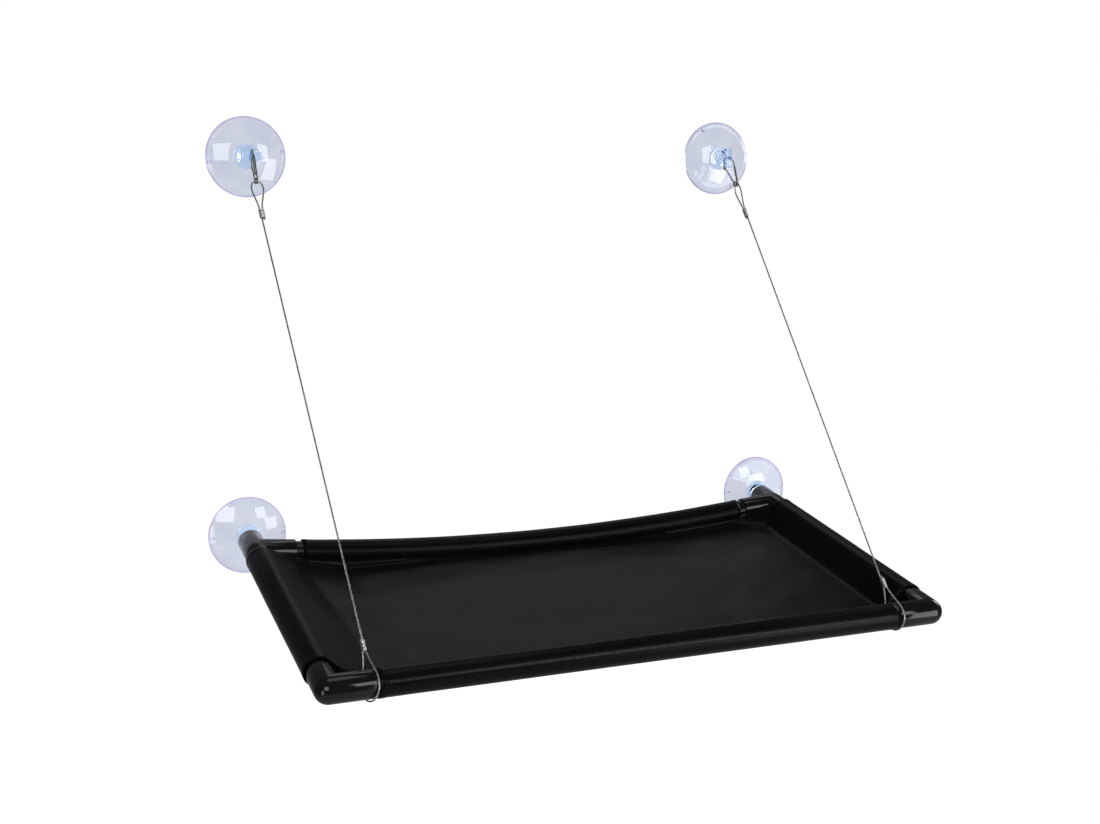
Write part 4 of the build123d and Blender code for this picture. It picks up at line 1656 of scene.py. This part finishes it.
# %% Bend the gates
GATE_TIP = (-6.4, 6.5, 0)
gate_coil = turn_of_coil(math.radians(200), -COIL_SPACING)
leg = smooth_line([GATE_TIP, (-6.0, 8.6, -0.05), (-3.0, 22.8, -0.6), gate_coil[0]])
for side, _ in SIDES:
    piece = wire_piece(f"{side}_gate_wire", [leg + gate_coil], [(GATE_TIP, 0.68)], side)
    stand_for(piece, f"{side}_gate", "spring_wire", f"{side}_snap_gate")
print("two snaps bent")

# %% [markdown]
# ## Floor and background
# The photograph's background is pure white. A white world and a pale floor make it so: for rays
# from the camera, and for what is seen through the vinyl, they are plain white. The light that
# they give is much less, so the black cloth stays black. The perch hangs high up, so the floor is
# far below it, and only a faint shadow reaches it. What mirrors see of the white is dimmed: with
# all of it, the shiny black cloth and plastic would turn grey, which they aren't in the photograph.

# %% Make the floor and the world
FLOOR_HEIGHT = -0.62
FLOOR_HALF = 9.0
MIRRORED_SHARE = 0.085
WHITE = (1, 1, 1, 1)


def seen_directly(tree):
    """1 for rays from the camera or through the vinyl, a little for mirrored ones, or 0."""
    path = tree.nodes.new("ShaderNodeLightPath").outputs
    either = math_of(tree, "MAXIMUM", path["Is Camera Ray"], path["Is Transmission Ray"])
    mirrored = math_of(tree, "MULTIPLY", path["Is Glossy Ray"], MIRRORED_SHARE)
    return math_of(tree, "MAXIMUM", either, mirrored)


form = bmesh.new()
bmesh.ops.create_grid(form, x_segments=1, y_segments=1, size=FLOOR_HALF)
bmesh.ops.translate(form, vec=(0, 0, FLOOR_HEIGHT), verts=form.verts)
floor_paint, tree, shader = new_material("floor_paint")
lift = range_of(tree, seen_directly(tree), 0.0, 0.95)
feed(shader, Base_Color=(0.82, 0.82, 0.83, 1), Roughness=0.9)
feed(shader, Emission_Color=WHITE, Emission_Strength=lift)
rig.stage(finish_mesh("floor", form, floor_paint))

world = bpy.data.worlds.new("studio")
bpy.context.scene.world = world
world.use_nodes = True
tree = world.node_tree
glow = range_of(tree, seen_directly(tree), 0.05, 1.0)
feed(tree.nodes["Background"], Color=WHITE, Strength=glow)
bpy.context.scene.view_settings.view_transform = "Standard"

# %% [markdown]
# ## Light
# Soft boxes do the work. Four of them stand in front, like windows, and the cups and elbows mirror
# them. One at the right makes the ropes shine along their length, and one above lights the tray.
# Two weak ones stand behind the glass: the fittings, the rear sleeve and the tray's floor mirror
# them. The camera sees none of the lamps, and those two don't show through the vinyl either.

# %% Lights
LAMPS = (
    ("left_window", (-0.83, -1.40, 0.535), (-0.28, 0, 0), (0.7, 0.6), 8),
    ("right_window", (0.496, -1.42, 0.495), (-0.28, 0, 0), (0.42, 0.5), 4.2),
    ("low_right_window", (0.98, -1.44, -0.12), (-0.23, 0, 0.36), (0.7, 0.9), 12),
    ("low_left_window", (-1.38, -1.12, -0.2), (-0.23, 0, 0.36), (0.4, 0.7), 4),
    ("rope_light", (1.15, 0.02, 0.45), (-0.1, -0.28, 0), (0.5, 0.5), 4),
    ("top_box", (0.1, -0.3, 1.7), (0, -0.15, 0), (1.0, 0.7), 4),
    ("rear_glow", (0.54, 1.16, 1.04), (0, -0.17, -0.04), (0.95, 0.95), 1.2),
    ("high_glow", (0.47, 0.99, 1.35), (0, -0.07, -0.03), (0.8, 0.3), 0.9),
)
for name, place, target, size, power in LAMPS:
    lamp = bpy.data.lights.new(name, "AREA")
    lamp.shape = "RECTANGLE"
    lamp.size, lamp.size_y = size
    lamp.energy = power
    holder = bpy.data.objects.new(name, lamp)
    holder.location = place
    facing = Vector(target) - Vector(place)
    holder.rotation_euler = facing.to_track_quat("-Z", "Y").to_euler()
    holder.visible_transmission = not name.endswith("glow")
    bpy.context.scene.collection.objects.link(holder)

# %% Note the sizes and finish
with open("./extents.json", "w") as file:
    both = {"cad": cad_box, "visual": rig.bounds()}
    plain = {key: [list(map(float, corner)) for corner in box] for key, box in both.items()}
    json.dump(plain, file)
print(plain)
